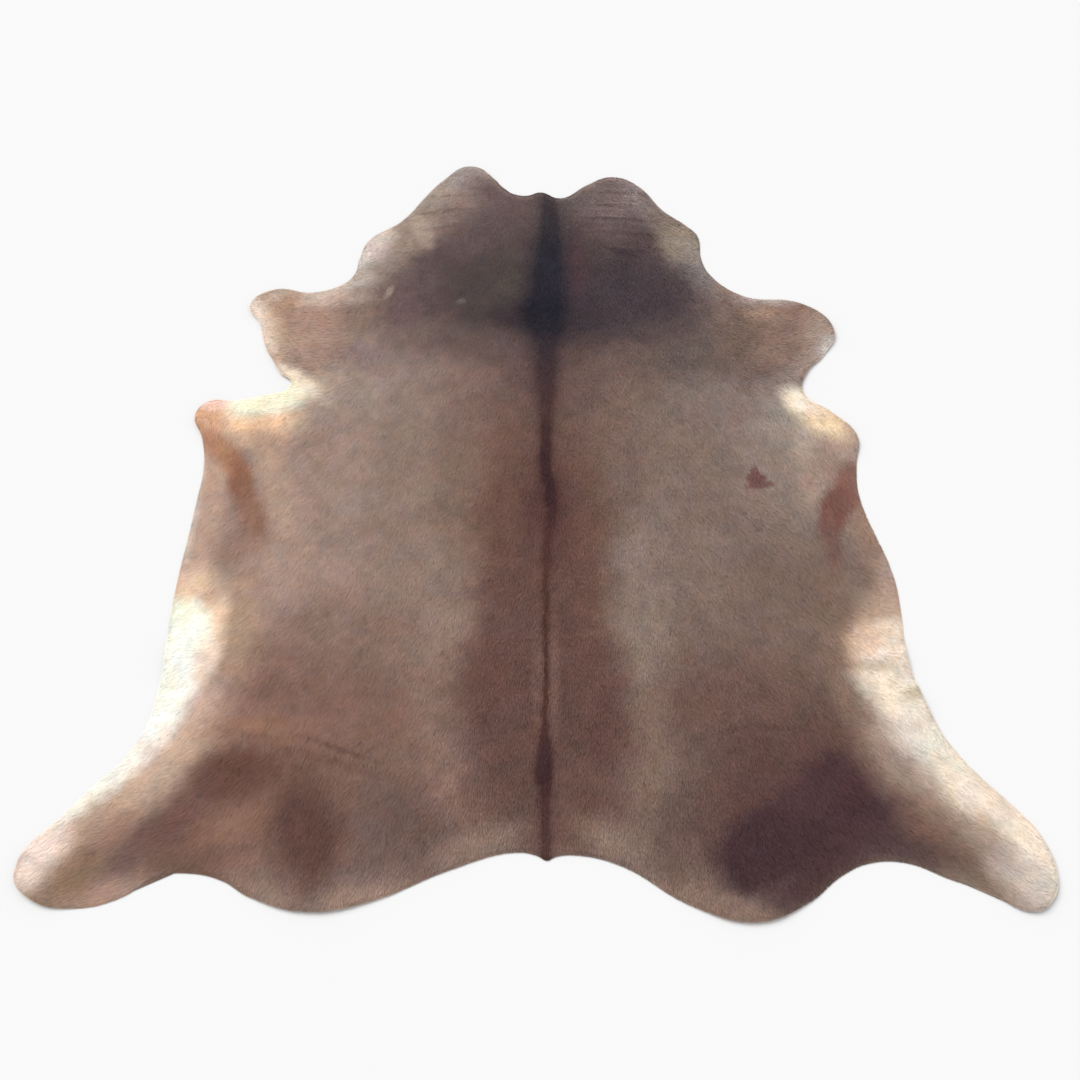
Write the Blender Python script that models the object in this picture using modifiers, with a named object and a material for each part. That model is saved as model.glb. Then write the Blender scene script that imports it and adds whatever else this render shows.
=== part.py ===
"""A whole cowhide with its coat on, spread out flat: one sheet of leather and short hair, cut to the outline
of the animal, with the few soft swells and folds that a dried hide keeps.

Metres, +Z up and +Y towards the head. The origin is on the ground, under the middle of the hide's box.
Run it with: blender --background --python part.py
"""

import math
from collections import namedtuple

import bmesh
import bpy
import numpy as np

# Thickness of leather and coat together: the back is thick, and the belly's edges are thin.
BACK_THICKNESS = 0.0052
BELLY_THICKNESS = 0.0036
BELLY_REACH = 0.85  # how far out from the backbone the sheet has thinned to the belly's thickness

GRID_SQUARE = 0.030  # side of the sheet's squares, which bend to make the folds
CURVE_STEPS = 6  # steps between two places on the outline
CUTTER_HEIGHT = 0.050

HIDE_COLOUR = (0.262, 0.184, 0.145)
HIDE_ROUGHNESS = 0.75

# Places are measured on the flat hide: x out from the backbone, and y from the middle of its length to the head.
Place = namedtuple("Place", "name x y")

# The left edge, from the poll between the ears to the root of the tail.
LEFT_NECK = (
    Place("poll", -0.010, 1.000),
    Place("poll hollow", -0.055, 0.985),
    Place("lobe, inner side", -0.138, 1.042),
    Place("lobe", -0.220, 1.107),
    Place("lobe, outer side", -0.310, 1.048),
    Place("throat", -0.415, 0.872),
    Place("cheek", -0.503, 0.794),
    Place("jaw", -0.525, 0.715),
    Place("root", -0.556, 0.632),
)
LEFT_FORE_LEG = (
    Place("front", -0.635, 0.600),
    Place("front, outer end", -0.735, 0.612),
    Place("end", -0.812, 0.540),
    Place("back corner", -0.773, 0.478),
    Place("back", -0.748, 0.395),
    Place("front of the armpit", -0.695, 0.298),
    Place("armpit", -0.664, 0.268),
    Place("back of the armpit", -0.730, 0.236),
    Place("front of the elbow", -0.805, 0.220),
    Place("elbow, front corner", -0.870, 0.226),
    Place("elbow", -0.903, 0.170),
)
LEFT_FLANK = (
    Place("back of the elbow", -0.868, 0.080),
    Place("ribs", -0.855, -0.100),
    Place("belly", -0.866, -0.400),
    Place("flank", -0.858, -0.580),
)
LEFT_HIND_LEG = (
    Place("stifle", -0.882, -0.715),
    Place("hock", -0.992, -0.860),
    Place("outer side of the end", -1.080, -1.000),
    Place("end", -1.045, -1.054),
    Place("inner side of the end", -0.950, -1.076),
    Place("inner side", -0.850, -1.052),
    Place("hock hollow", -0.718, -1.004),
)
LEFT_RUMP = (
    Place("outer side of the buttock", -0.600, -1.052),
    Place("buttock", -0.475, -1.084),
    Place("inner side of the buttock", -0.350, -1.062),
    Place("rump", -0.195, -0.999),
    Place("tail hollow", -0.063, -0.961),
    Place("tail root", 0.000, -0.980),
)

# The right edge, from the root of the tail back to the poll.
RIGHT_RUMP = (
    Place("tail hollow", 0.060, -0.967),
    Place("rump", 0.150, -0.990),
    Place("inner side of the buttock", 0.285, -1.069),
    Place("buttock", 0.415, -1.103),
    Place("outer side of the buttock", 0.525, -1.066),
)
RIGHT_HIND_LEG = (
    Place("hock hollow", 0.655, -0.981),
    Place("inner side", 0.787, -1.005),
    Place("inner side of the end", 0.880, -1.041),
    Place("end", 0.968, -1.084),
    Place("outer side of the end", 1.034, -1.015),
    Place("hock", 0.990, -0.876),
    Place("stifle", 0.852, -0.684),
)
RIGHT_FLANK = (
    Place("flank", 0.820, -0.540),
    Place("belly", 0.820, -0.330),
    Place("ribs", 0.769, -0.075),
    Place("back of the elbow", 0.776, 0.010),
)
RIGHT_FORE_LEG = (
    Place("elbow", 0.790, 0.100),
    Place("front of the elbow", 0.735, 0.181),
    Place("armpit", 0.671, 0.242),
    Place("front of the armpit", 0.688, 0.305),
    Place("back", 0.738, 0.362),
    Place("end", 0.781, 0.450),
    Place("front, outer end", 0.705, 0.558),
    Place("front", 0.545, 0.586),
)
RIGHT_NECK = (
    Place("root", 0.464, 0.660),
    Place("cheek", 0.440, 0.795),
    Place("throat", 0.345, 0.918),
    Place("lobe, outer side", 0.275, 1.022),
    Place("lobe", 0.200, 1.062),
    Place("lobe, inner side", 0.120, 1.023),
    Place("poll hollow", 0.045, 0.973),
)

OUTLINE = (
    LEFT_NECK + LEFT_FORE_LEG + LEFT_FLANK + LEFT_HIND_LEG + LEFT_RUMP
    + RIGHT_RUMP + RIGHT_HIND_LEG + RIGHT_FLANK + RIGHT_FORE_LEG + RIGHT_NECK
)

# Swells and folds, each a smooth mound on an ellipse: its middle, the heading of its long axis from +X,
# its half length and half width, and how far it lifts the sheet off the ground.
Fold = namedtuple("Fold", "name x y heading half_length half_width height")

FOLDS = (
    Fold("left neck fold", -0.25, 0.87, math.radians(8), 0.24, 0.085, 0.0060),
    Fold("right neck fold", 0.22, 0.86, math.radians(-6), 0.22, 0.080, 0.0055),
    Fold("left neck lobe", -0.22, 1.10, math.radians(0), 0.16, 0.120, 0.0060),
    Fold("right neck lobe", 0.20, 1.06, math.radians(0), 0.15, 0.110, 0.0045),
    Fold("left fore shank", -0.80, 0.54, math.radians(60), 0.16, 0.120, 0.0075),
    Fold("right fore shank", 0.77, 0.46, math.radians(110), 0.16, 0.120, 0.0065),
    Fold("left armpit pucker", -0.66, 0.31, math.radians(150), 0.20, 0.080, 0.0060),
    Fold("right armpit pucker", 0.64, 0.28, math.radians(35), 0.18, 0.080, 0.0055),
    Fold("left elbow", -0.90, 0.17, math.radians(90), 0.14, 0.110, 0.0070),
    Fold("right elbow", 0.80, 0.11, math.radians(100), 0.14, 0.090, 0.0050),
    Fold("left flank fold", -0.82, -0.53, math.radians(-14), 0.18, 0.080, 0.0080),
    Fold("right flank fold, front", 0.77, -0.53, math.radians(10), 0.17, 0.065, 0.0070),
    Fold("right flank fold, back", 0.81, -0.64, math.radians(16), 0.16, 0.065, 0.0060),
    Fold("left thigh fold", -0.48, -0.74, math.radians(-11), 0.24, 0.080, 0.0045),
    Fold("right thigh fold", 0.42, -0.72, math.radians(9), 0.20, 0.080, 0.0040),
    Fold("left buttock", -0.46, -1.08, math.radians(0), 0.22, 0.110, 0.0050),
    Fold("right buttock", 0.42, -1.10, math.radians(0), 0.20, 0.110, 0.0055),
    Fold("left hind shank", -1.05, -1.04, math.radians(50), 0.20, 0.130, 0.0080),
    Fold("right hind shank", 1.01, -1.06, math.radians(120), 0.19, 0.130, 0.0075),
)


def remove_all_objects():
    for obj in list(bpy.data.objects):
        bpy.data.objects.remove(obj, do_unlink=True)


def new_collection(name):
    collection = bpy.data.collections.new(name)
    bpy.context.scene.collection.children.link(collection)
    return collection


def new_material(name, colour, roughness):
    material = bpy.data.materials.new(name)
    material.use_nodes = True
    shader = material.node_tree.nodes["Principled BSDF"]
    shader.inputs["Base Color"].default_value = (*colour, 1.0)
    shader.inputs["Roughness"].default_value = roughness
    shader.inputs["Metallic"].default_value = 0.0
    material.diffuse_color = (*colour, 1.0)
    return material


def evaluated_copy(obj, name, collection):
    """A plain mesh object with the shape that obj has after its modifiers."""
    graph = bpy.context.evaluated_depsgraph_get()
    mesh = bpy.data.meshes.new_from_object(obj.evaluated_get(graph))
    copy = bpy.data.objects.new(name, mesh)
    copy.matrix_world = obj.matrix_world
    collection.objects.link(copy)
    return copy


def outline_cutter(collection):
    """The hide's outline as a flat curve through its places, filled and made a prism."""
    data = bpy.data.curves.new("outline", "CURVE")
    data.dimensions = "2D"
    data.fill_mode = "BOTH"
    data.extrude = CUTTER_HEIGHT / 2
    data.resolution_u = CURVE_STEPS
    spline = data.splines.new("BEZIER")
    spline.bezier_points.add(len(OUTLINE) - 1)
    spline.use_cyclic_u = True
    for point, place in zip(spline.bezier_points, OUTLINE):
        point.co = (place.x, place.y, 0.0)
        point.handle_left_type = "AUTO"
        point.handle_right_type = "AUTO"
    curve = bpy.data.objects.new("outline", data)
    collection.objects.link(curve)
    bpy.context.view_layer.update()

    cutter = evaluated_copy(curve, "outline_cutter", collection)
    bpy.data.objects.remove(curve, do_unlink=True)
    weld(cutter.data, 0.00001)
    cutter.hide_render = True
    cutter.display_type = "WIRE"
    return cutter


def weld(mesh, distance):
    shape = bmesh.new()
    shape.from_mesh(mesh)
    bmesh.ops.remove_doubles(shape, verts=shape.verts, dist=distance)
    bmesh.ops.recalc_face_normals(shape, faces=shape.faces)
    shape.to_mesh(mesh)
    shape.free()


def blank_sheet(collection):
    """A flat sheet of squares, larger than the hide, with its underside on the ground."""
    reach_x = max(abs(place.x) for place in OUTLINE) + GRID_SQUARE
    reach_y = max(abs(place.y) for place in OUTLINE) + GRID_SQUARE
    columns = math.ceil(2 * reach_x / GRID_SQUARE)
    rows = math.ceil(2 * reach_y / GRID_SQUARE)
    bpy.ops.mesh.primitive_grid_add(x_subdivisions=columns, y_subdivisions=rows, size=1.0)
    blank = bpy.context.object
    blank.name = "blank"
    for vertex in blank.data.vertices:
        vertex.co.x *= columns * GRID_SQUARE
        vertex.co.y *= rows * GRID_SQUARE
    move_to(blank, collection)
    thicken = blank.modifiers.new("thicken", "SOLIDIFY")
    thicken.thickness = BACK_THICKNESS
    thicken.offset = 1.0
    return blank


def move_to(obj, collection):
    for owner in list(obj.users_collection):
        owner.objects.unlink(obj)
    collection.objects.link(obj)


def thickness(x):
    """The sheet's thickness falls off with the square of the distance from the backbone."""
    out = np.clip(np.abs(x) / BELLY_REACH, 0.0, 1.0)
    return BACK_THICKNESS + (BELLY_THICKNESS - BACK_THICKNESS) * out**2


def lift(x, y):
    """How far the sheet stands off the ground: the sum of its folds, each (1 - r^2)^2 inside its ellipse."""
    total = np.zeros_like(x)
    for fold in FOLDS:
        along = (x - fold.x) * math.cos(fold.heading) + (y - fold.y) * math.sin(fold.heading)
        across = (y - fold.y) * math.cos(fold.heading) - (x - fold.x) * math.sin(fold.heading)
        from_middle = (along / fold.half_length) ** 2 + (across / fold.half_width) ** 2
        total += fold.height * np.clip(1.0 - from_middle, 0.0, 1.0) ** 2
    return total


def settle(mesh):
    """Gives every point its thickness and lift, and puts the origin under the middle of the hide's box."""
    points = np.empty(len(mesh.vertices) * 3)
    mesh.vertices.foreach_get("co", points)
    points = points.reshape(-1, 3)
    x = points[:, 0].copy()
    y = points[:, 1].copy()
    on_top = points[:, 2] > BACK_THICKNESS / 2
    points[:, 2] = lift(x, y) + np.where(on_top, thickness(x), 0.0)
    middle = (points.min(axis=0) + points.max(axis=0)) / 2
    points[:, 0] -= middle[0]
    points[:, 1] -= middle[1]
    mesh.vertices.foreach_set("co", points.ravel())
    mesh.update()


def build_hide():
    cutters = new_collection("cutters")
    collection = new_collection("cowhide")
    cutter = outline_cutter(cutters)
    blank = blank_sheet(cutters)
    cut = blank.modifiers.new("cut to the outline", "BOOLEAN")
    cut.operation = "INTERSECT"
    cut.solver = "EXACT"
    cut.object = cutter
    bpy.context.view_layer.update()
    hide = evaluated_copy(blank, "hide", collection)
    bpy.data.objects.remove(blank, do_unlink=True)
    settle(hide.data)
    hide.data.materials.clear()
    hide.data.materials.append(new_material("hide", HIDE_COLOUR, HIDE_ROUGHNESS))
    hide.data.shade_smooth()
    hide.data.set_sharp_from_angle(angle=math.radians(40))
    return hide


remove_all_objects()
build_hide()
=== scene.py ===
# %% [markdown]
# # A whole cowhide with its hair on, laid flat
#
# On the real object this is one skin: a sheet of tanned leather about two millimetres thick, and on top of
# it the animal's own short coat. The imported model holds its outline, its soft folds and its size as one plain
# solid. This lesson lays the same hide out again in the same place, finer, with what the eye looks for:
# leather with a suede underside, a coat of lying hair, and the animal's markings.
#
# A coat could be a flat picture, Blender's hair curves, or real little tufts. A picture shows no tufts at the
# edge, and hair curves are lost when the model leaves Blender, so here the coat is made of small tufts: each
# is a leaf of two triangles that lies along the way the hair grows.

import math
from collections import namedtuple

import bmesh
import bpy
import numpy as np
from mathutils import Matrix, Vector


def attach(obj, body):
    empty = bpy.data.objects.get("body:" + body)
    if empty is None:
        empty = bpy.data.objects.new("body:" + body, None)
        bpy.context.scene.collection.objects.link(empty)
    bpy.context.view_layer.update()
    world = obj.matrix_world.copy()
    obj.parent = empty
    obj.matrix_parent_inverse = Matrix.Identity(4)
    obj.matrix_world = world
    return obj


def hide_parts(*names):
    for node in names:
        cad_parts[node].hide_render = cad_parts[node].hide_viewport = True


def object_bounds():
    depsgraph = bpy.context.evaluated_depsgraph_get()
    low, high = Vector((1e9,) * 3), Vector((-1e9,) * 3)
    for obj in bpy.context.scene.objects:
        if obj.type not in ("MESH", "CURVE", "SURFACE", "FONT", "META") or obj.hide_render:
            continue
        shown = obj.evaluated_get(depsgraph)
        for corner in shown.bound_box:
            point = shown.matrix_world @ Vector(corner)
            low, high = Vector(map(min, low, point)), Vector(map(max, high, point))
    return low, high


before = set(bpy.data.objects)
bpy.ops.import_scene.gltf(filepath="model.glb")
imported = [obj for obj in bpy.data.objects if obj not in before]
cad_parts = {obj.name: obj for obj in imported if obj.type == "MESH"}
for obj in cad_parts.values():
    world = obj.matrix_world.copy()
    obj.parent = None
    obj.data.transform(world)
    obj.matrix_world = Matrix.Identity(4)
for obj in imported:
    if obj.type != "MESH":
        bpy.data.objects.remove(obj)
cad_box = [list(corner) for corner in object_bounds()]
print("the packed hide's box:", [[round(v, 4) for v in corner] for corner in cad_box])

# %% [markdown]
# ## The outline
#
# The edge of a hide runs round the neck, four legs and the rump, so every stretch of it has a butcher's name.
# It could be drawn by hand in the editor. A short table of named places is better here, because each can be
# checked and moved alone. The last column, rib, is for the sheet: it says how far up the backbone the rib
# starts that ends at this place.

# %% The places on the edge
# The columns of the tables that hold lengths.
LENGTHS = {"x", "y", "rib", "half_length", "half_width", "height", "blur", "front"}


def table(kind, *rows):
    """Rows of plain values, given the names of their columns. Lengths are written in millimetres, because
    whole numbers are easier to read, and kept in metres."""
    metres = [[v / 1000 if name in LENGTHS else v for name, v in zip(kind._fields, row)] for row in rows]
    return tuple(kind(*row) for row in metres)


# In every table, x is measured out from the backbone to the right, and y from the middle of the hide's
# length to the head.
Place = namedtuple("Place", "name x y rib")

LEFT_EDGE = table(
    Place,
    # neck
    ("poll", -11, 995, 1000),
    ("poll hollow", -60, 980, 955),
    ("foot of the lobe", -121, 1011, 915),
    ("lobe, inner side", -141, 1043, 900),
    ("lobe", -220, 1101, 830),
    ("lobe, outer side", -303, 1042, 770),
    ("throat, front", -349, 978, 740),
    ("throat", -415, 871, 690),
    ("cheek", -501, 799, 610),
    ("jaw", -525, 715, 560),
    ("foot of the jaw", -533, 662, 530),
    # fore leg
    ("root", -556, 631, 510),
    ("front", -635, 597, 460),
    ("front, outer end", -742, 605, 395),
    ("end", -807, 541, 350),
    ("back corner", -773, 478, 320),
    ("back", -748, 396, 280),
    ("back, inner end", -720, 345, 257),
    # armpit and elbow
    ("front of the armpit", -694, 299, 235),
    ("armpit", -664, 268, 205),
    ("back of the armpit", -730, 235, 175),
    ("front of the elbow", -805, 218, 140),
    ("elbow, front corner", -865, 214, 110),
    ("elbow", -897, 165, 75),
    ("back of the elbow", -869, 92, 30),
    # belly
    ("behind the elbow", -852, 5, -40),
    ("ribs", -854, -100, -120),
    ("belly", -865, -400, -360),
    ("flank", -858, -580, -490),
    # hind leg
    ("stifle", -882, -715, -555),
    ("hock", -994, -860, -595),
    ("outer side of the end", -1080, -1000, -615),
    ("end", -1032, -1058, -625),
    ("inner side of the end", -940, -1074.5, -637),
    ("inner side", -850, -1053, -653),
    ("outer side of the hock hollow", -785, -1011, -666),
    # rump
    ("hock hollow", -720, -1005, -680),
    ("inner side of the hock hollow", -655, -1020, -697),
    ("outer side of the buttock", -600, -1051, -715),
    ("buttock", -475, -1083, -765),
    ("inner side of the buttock", -350, -1061, -820),
    ("rump", -195, -998, -880),
    ("tail hollow", -60, -962, -945),
    ("side of the tail root", -20, -969, -968),
    ("tail root", 0, -979, -979),
)
RIGHT_EDGE = table(
    Place,
    # rump
    ("tail root", 0, -979, -979),
    ("side of the tail root", 18, -971, -968),
    ("tail hollow", 60, -968, -945),
    ("rump", 150, -990, -880),
    ("inner side of the buttock", 285, -1069, -820),
    ("buttock", 415, -1103, -765),
    ("outer side of the buttock", 525, -1063, -715),
    ("thigh", 600, -1008, -698),
    ("hock hollow", 658, -984, -680),
    # hind leg
    ("outer side of the hock hollow", 735, -985, -664),
    ("inner side", 810, -1016, -649),
    ("inner side of the end", 880, -1041, -637),
    ("end", 965, -1082, -625),
    ("corner of the end", 1007, -1063, -620),
    ("outer side of the end", 1033, -1007, -615),
    ("outer side", 1019, -920, -603),
    ("hock", 988, -874, -595),
    ("gaskin", 897, -765, -571),
    ("stifle", 852, -684, -555),
    # belly
    ("back of the flank", 826, -594, -520),
    ("flank", 813, -530, -490),
    ("front of the flank", 818, -410, -400),
    ("belly", 817, -310, -330),
    ("ribs", 769, -75, -120),
    # armpit and elbow
    ("back of the elbow", 776, 10, -20),
    ("elbow", 790, 100, 60),
    ("front of the elbow", 735, 181, 135),
    ("armpit", 671, 242, 190),
    ("front of the armpit", 688, 305, 240),
    # fore leg
    ("back", 738, 362, 280),
    ("end", 779, 450, 340),
    ("front, outer end", 703, 554, 410),
    ("front", 544.5, 584, 480),
    ("root", 463, 659, 540),
    # neck
    ("jaw", 443, 714, 575),
    ("cheek", 437, 815, 645),
    ("front of the cheek", 412, 850, 670),
    ("throat", 345, 917, 720),
    ("lobe, outer side", 275, 1021, 800),
    ("lobe", 200, 1055.5, 850),
    ("lobe, inner side", 120, 1022, 900),
    ("poll hollow", 45, 970, 955),
    ("poll", -11, 995, 1000),
)
OUTLINE = LEFT_EDGE + RIGHT_EDGE[1:-1]
HANDLE = 2.5614  # Blender's own number for the length of automatic handles
EDGE_INSET = 0.0033  # the places stand at the tips of the fringe, and the coat ends this far inside them
EDGE_STEPS = 6  # points on each span of the edge


def unit(steps):
    """Each step divided by its own length."""
    return steps / np.linalg.norm(steps, axis=-1, keepdims=True)


def edge_at(number):
    """Points on the closed edge and their outward normals. number counts places: 3.5 is half way from place
    3 to place 4. Each span is a cubic Bezier curve: its handles point along the sum of the two unit steps
    that meet at a place, and are as long as the step on that side over HANDLE times that sum's length."""
    at = np.array([(place.x, place.y) for place in OUTLINE])
    before = at - np.roll(at, 1, axis=0)
    after = np.roll(at, -1, axis=0) - at
    along = unit(before) + unit(after)
    along = along / (HANDLE * np.linalg.norm(along, axis=1, keepdims=True))
    arriving = at - along * np.linalg.norm(before, axis=1, keepdims=True)
    leaving = at + along * np.linalg.norm(after, axis=1, keepdims=True)
    first = np.floor(number).astype(int)
    t = (number - first)[:, None]
    first = first % len(at)
    second = (first + 1) % len(at)
    a, b, c, d = at[first], leaving[first], arriving[second], at[second]
    points = (1 - t) ** 3 * a + 3 * (1 - t) ** 2 * t * b + 3 * (1 - t) * t**2 * c + t**3 * d
    going = (1 - t) ** 2 * (b - a) + 2 * (1 - t) * t * (c - b) + t**2 * (d - c)
    going = unit(going)
    out = np.stack([going[:, 1], -going[:, 0]], axis=1)
    return points - EDGE_INSET * out, out


edge, _ = edge_at(np.arange(len(OUTLINE) * EDGE_STEPS) / EDGE_STEPS)
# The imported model's origin, measured as the places are.
MIDDLE = edge.min(axis=0) - EDGE_INSET - np.array(cad_box[0][:2])
print("places:", len(OUTLINE), " middle of the packed box:", MIDDLE.round(4))

# %% [markdown]
# ## The soft folds
#
# A dried hide never lies quite flat. The neck, the legs and the flanks keep swells and a few creases. They
# could be simulated by dropping a cloth, but a hide is stiff and its folds belong to that animal, so each is
# a smooth mound on an ellipse with its own name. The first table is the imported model's own. The second adds
# the narrower wrinkles that its coarse squares can't hold.

# %% Folds and wrinkles
Fold = namedtuple("Fold", "name x y heading half_length half_width height")

FOLDS = table(
    Fold,
    ("left neck fold", -250, 870, 8, 240, 85, 6),
    ("right neck fold", 220, 860, -6, 220, 80, 5.5),
    ("left neck lobe", -220, 1100, 0, 160, 120, 6),
    ("right neck lobe", 200, 1060, 0, 150, 110, 4.5),
    ("left fore shank", -800, 540, 60, 160, 120, 7.5),
    ("right fore shank", 770, 460, 110, 160, 120, 6.5),
    ("left armpit pucker", -660, 310, 150, 200, 80, 6),
    ("right armpit pucker", 640, 280, 35, 180, 80, 5.5),
    ("left elbow", -900, 170, 90, 140, 110, 7),
    ("right elbow", 800, 110, 100, 140, 90, 5),
    ("left flank fold", -820, -530, -14, 180, 80, 8),
    ("right flank fold, front", 770, -530, 10, 170, 65, 7),
    ("right flank fold, back", 810, -640, 16, 160, 65, 6),
    ("left thigh fold", -480, -740, -11, 240, 80, 4.5),
    ("right thigh fold", 420, -720, 9, 200, 80, 4),
    ("left buttock", -460, -1080, 0, 220, 110, 5),
    ("right buttock", 420, -1100, 0, 200, 110, 5.5),
    ("left hind shank", -1050, -1040, 50, 200, 130, 8),
    ("right hind shank", 1010, -1060, 120, 190, 130, 7.5),
)
WRINKLES = table(
    Fold,
    ("left neck wrinkle, front", -260, 975, 4, 130, 16, 2.2),
    ("left neck wrinkle, middle", -300, 905, 9, 150, 18, 2.6),
    ("left neck wrinkle, back", -330, 830, 14, 150, 16, 2.2),
    ("right neck wrinkle, front", 200, 985, -3, 110, 15, 3),
    ("right neck wrinkle, second", 200, 930, -2, 130, 15, 3.6),
    ("right neck wrinkle, third", 200, 872, -4, 150, 15, 3.6),
    ("right neck wrinkle, fourth", 240, 815, -6, 130, 15, 3),
    ("right neck wrinkle, back", 230, 752, -8, 90, 13, 3.2),
    ("left armpit wrinkle", -660, 235, 12, 130, 18, 2.4),
    ("right armpit wrinkle", 660, 205, -30, 100, 18, 2.4),
    ("left flank crease, front", -800, -455, -10, 110, 22, 1.6),
    ("left flank crease, back", -770, -560, -22, 110, 22, 1.8),
    ("right flank crease, front", 750, -524, 4, 80, 20, 3.4),
    ("right flank crease, middle", 805, -596, 16, 60, 18, 3),
    ("right flank crease, back", 840, -690, 24, 60, 20, 1.6),
    ("left thigh crease, outer", -600, -705, -4, 120, 20, 1.4),
    ("left thigh crease, inner", -440, -738, -20, 140, 15, 3),
    ("right thigh crease, inner", 370, -700, 14, 120, 16, 2.4),
    ("right thigh crease, outer", 520, -690, 0, 100, 16, 2),
    ("left hock crease", -840, -900, 60, 140, 22, 2.6),
    ("right hock crease", 840, -860, 120, 160, 22, 2.8),
)

# Thickness of the skin and depth of the lying hair, at the backbone and at BELLY_REACH from it.
LEATHER_BACK, LEATHER_BELLY = 0.0024, 0.0017
COAT_BACK, COAT_BELLY = 0.0028, 0.0019
BELLY_REACH = 0.85


def oval(x, y, row):
    """How far out a point is in the turned ellipse of a table's row: 0 in the middle and 1 on its rim. The
    row's heading is that of its length, in degrees from the right, anticlockwise."""
    c, s = math.cos(math.radians(row.heading)), math.sin(math.radians(row.heading))
    along = (x - row.x) * c + (y - row.y) * s
    across = (y - row.y) * c - (x - row.x) * s
    return np.hypot(along / row.half_length, across / row.half_width)


def lift(x, y):
    """Height of the leather's underside: all folds added up, each with (1 - r^2)^2 of its height where it is
    r out in its oval."""
    total = np.zeros_like(x)
    for fold in FOLDS + WRINKLES:
        total += fold.height * np.clip(1.0 - oval(x, y, fold) ** 2, 0.0, 1.0) ** 2
    return total


def thinned(x, back, belly):
    """A thickness that falls with the square of the distance from the backbone, from back to belly."""
    return back + (belly - back) * np.clip(np.abs(x) / BELLY_REACH, 0.0, 1.0) ** 2


def leather_top(x, y):
    """Height of the skin that the hair grows from: the lift and the leather's own thickness."""
    return lift(x, y) + thinned(x, LEATHER_BACK, LEATHER_BELLY)


print("folds:", len(FOLDS), " wrinkles:", len(WRINKLES))

# %% [markdown]
# ## How far from the edge
#
# Hair thins and pales towards the cut, and no tuft may grow outside it. Both need the distance to the edge
# at many thousands of points. Working that out for every tuft is slow, so it is worked out once on a coarse
# net of squares and read from there.

# %% A net of distances to the edge
NET = 0.006
NET_MARGIN = 10  # squares of the net beyond the hide
NET_END = 1.001  # squares from the end of the net's numbers, so that a point always has a square to lie in


def distance_net():
    """Signed distance to the edge on a net of squares: the nearest of all its spans, and negative where a
    line out to the left crosses the edge an even number of times, which is outside."""
    low = edge.min(axis=0) - NET_MARGIN * NET
    count = np.ceil((edge.max(axis=0) + NET_MARGIN * NET - low) / NET).astype(int)
    x = (low[0] + NET * np.arange(count[0]))[:, None]
    y = (low[1] + NET * np.arange(count[1]))[None, :]
    nearest = np.full(count, np.inf)
    inside = np.zeros(count, bool)
    for (ax, ay), (bx, by) in zip(edge, np.roll(edge, -1, axis=0)):
        dx, dy = bx - ax, by - ay
        t = np.clip(((x - ax) * dx + (y - ay) * dy) / (dx**2 + dy**2), 0.0, 1.0)
        nearest = np.minimum(nearest, (x - ax - t * dx) ** 2 + (y - ay - t * dy) ** 2)
        if ay != by:
            inside ^= ((ay > y) != (by > y)) & (x > ax + (y - ay) * dx / dy)
    return low, np.where(inside, 1.0, -1.0) * np.sqrt(nearest)


def corners_mixed(net, i, j, u, v):
    """The four corners of a square of a net mixed, where u and v say how far across it the point is."""
    left = net[i, j] * (1 - v) + net[i, j + 1] * v
    right = net[i + 1, j] * (1 - v) + net[i + 1, j + 1] * v
    return left * (1 - u) + right * u


net_low, net_values = distance_net()


def from_edge(x, y):
    """Metres inside the edge, and negative outside it."""
    u = np.clip((x - net_low[0]) / NET, 0.0, net_values.shape[0] - NET_END)
    v = np.clip((y - net_low[1]) / NET, 0.0, net_values.shape[1] - NET_END)
    i, j = u.astype(int), v.astype(int)
    return corners_mixed(net_values, i, j, u - i, v - j)


print("net of distances:", net_values.shape, " deepest point:", round(float(net_values.max()), 3))

# %% [markdown]
# ## The animal's markings
#
# This coat is a taupe brown with a dark line down the back, a dark saddle over the neck, red-brown bands
# beside the line, pale armpits and flanks, and dark thighs. On an animal all of these melt into each other.
# A painted picture could hold them, but it would carry no names. Here each marking is a soft oval in a
# table, laid on in order as a painter would, and slow noise bends their rims so that none looks drawn with
# a compass. A few rows are painted shade in folds and creases, and the broad fields of the two sides carry
# some painted light from the left.

# %% The table of markings
# colour is what a shade card would show, 0 to 255. soft is how much of the oval fades out: 0.1 is crisp, and
# most rows leave it at 0.8.
MARKING_COLUMNS = "name x y heading half_length half_width colour strength soft"
Marking = namedtuple("Marking", MARKING_COLUMNS, defaults=(0.8,))

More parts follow.
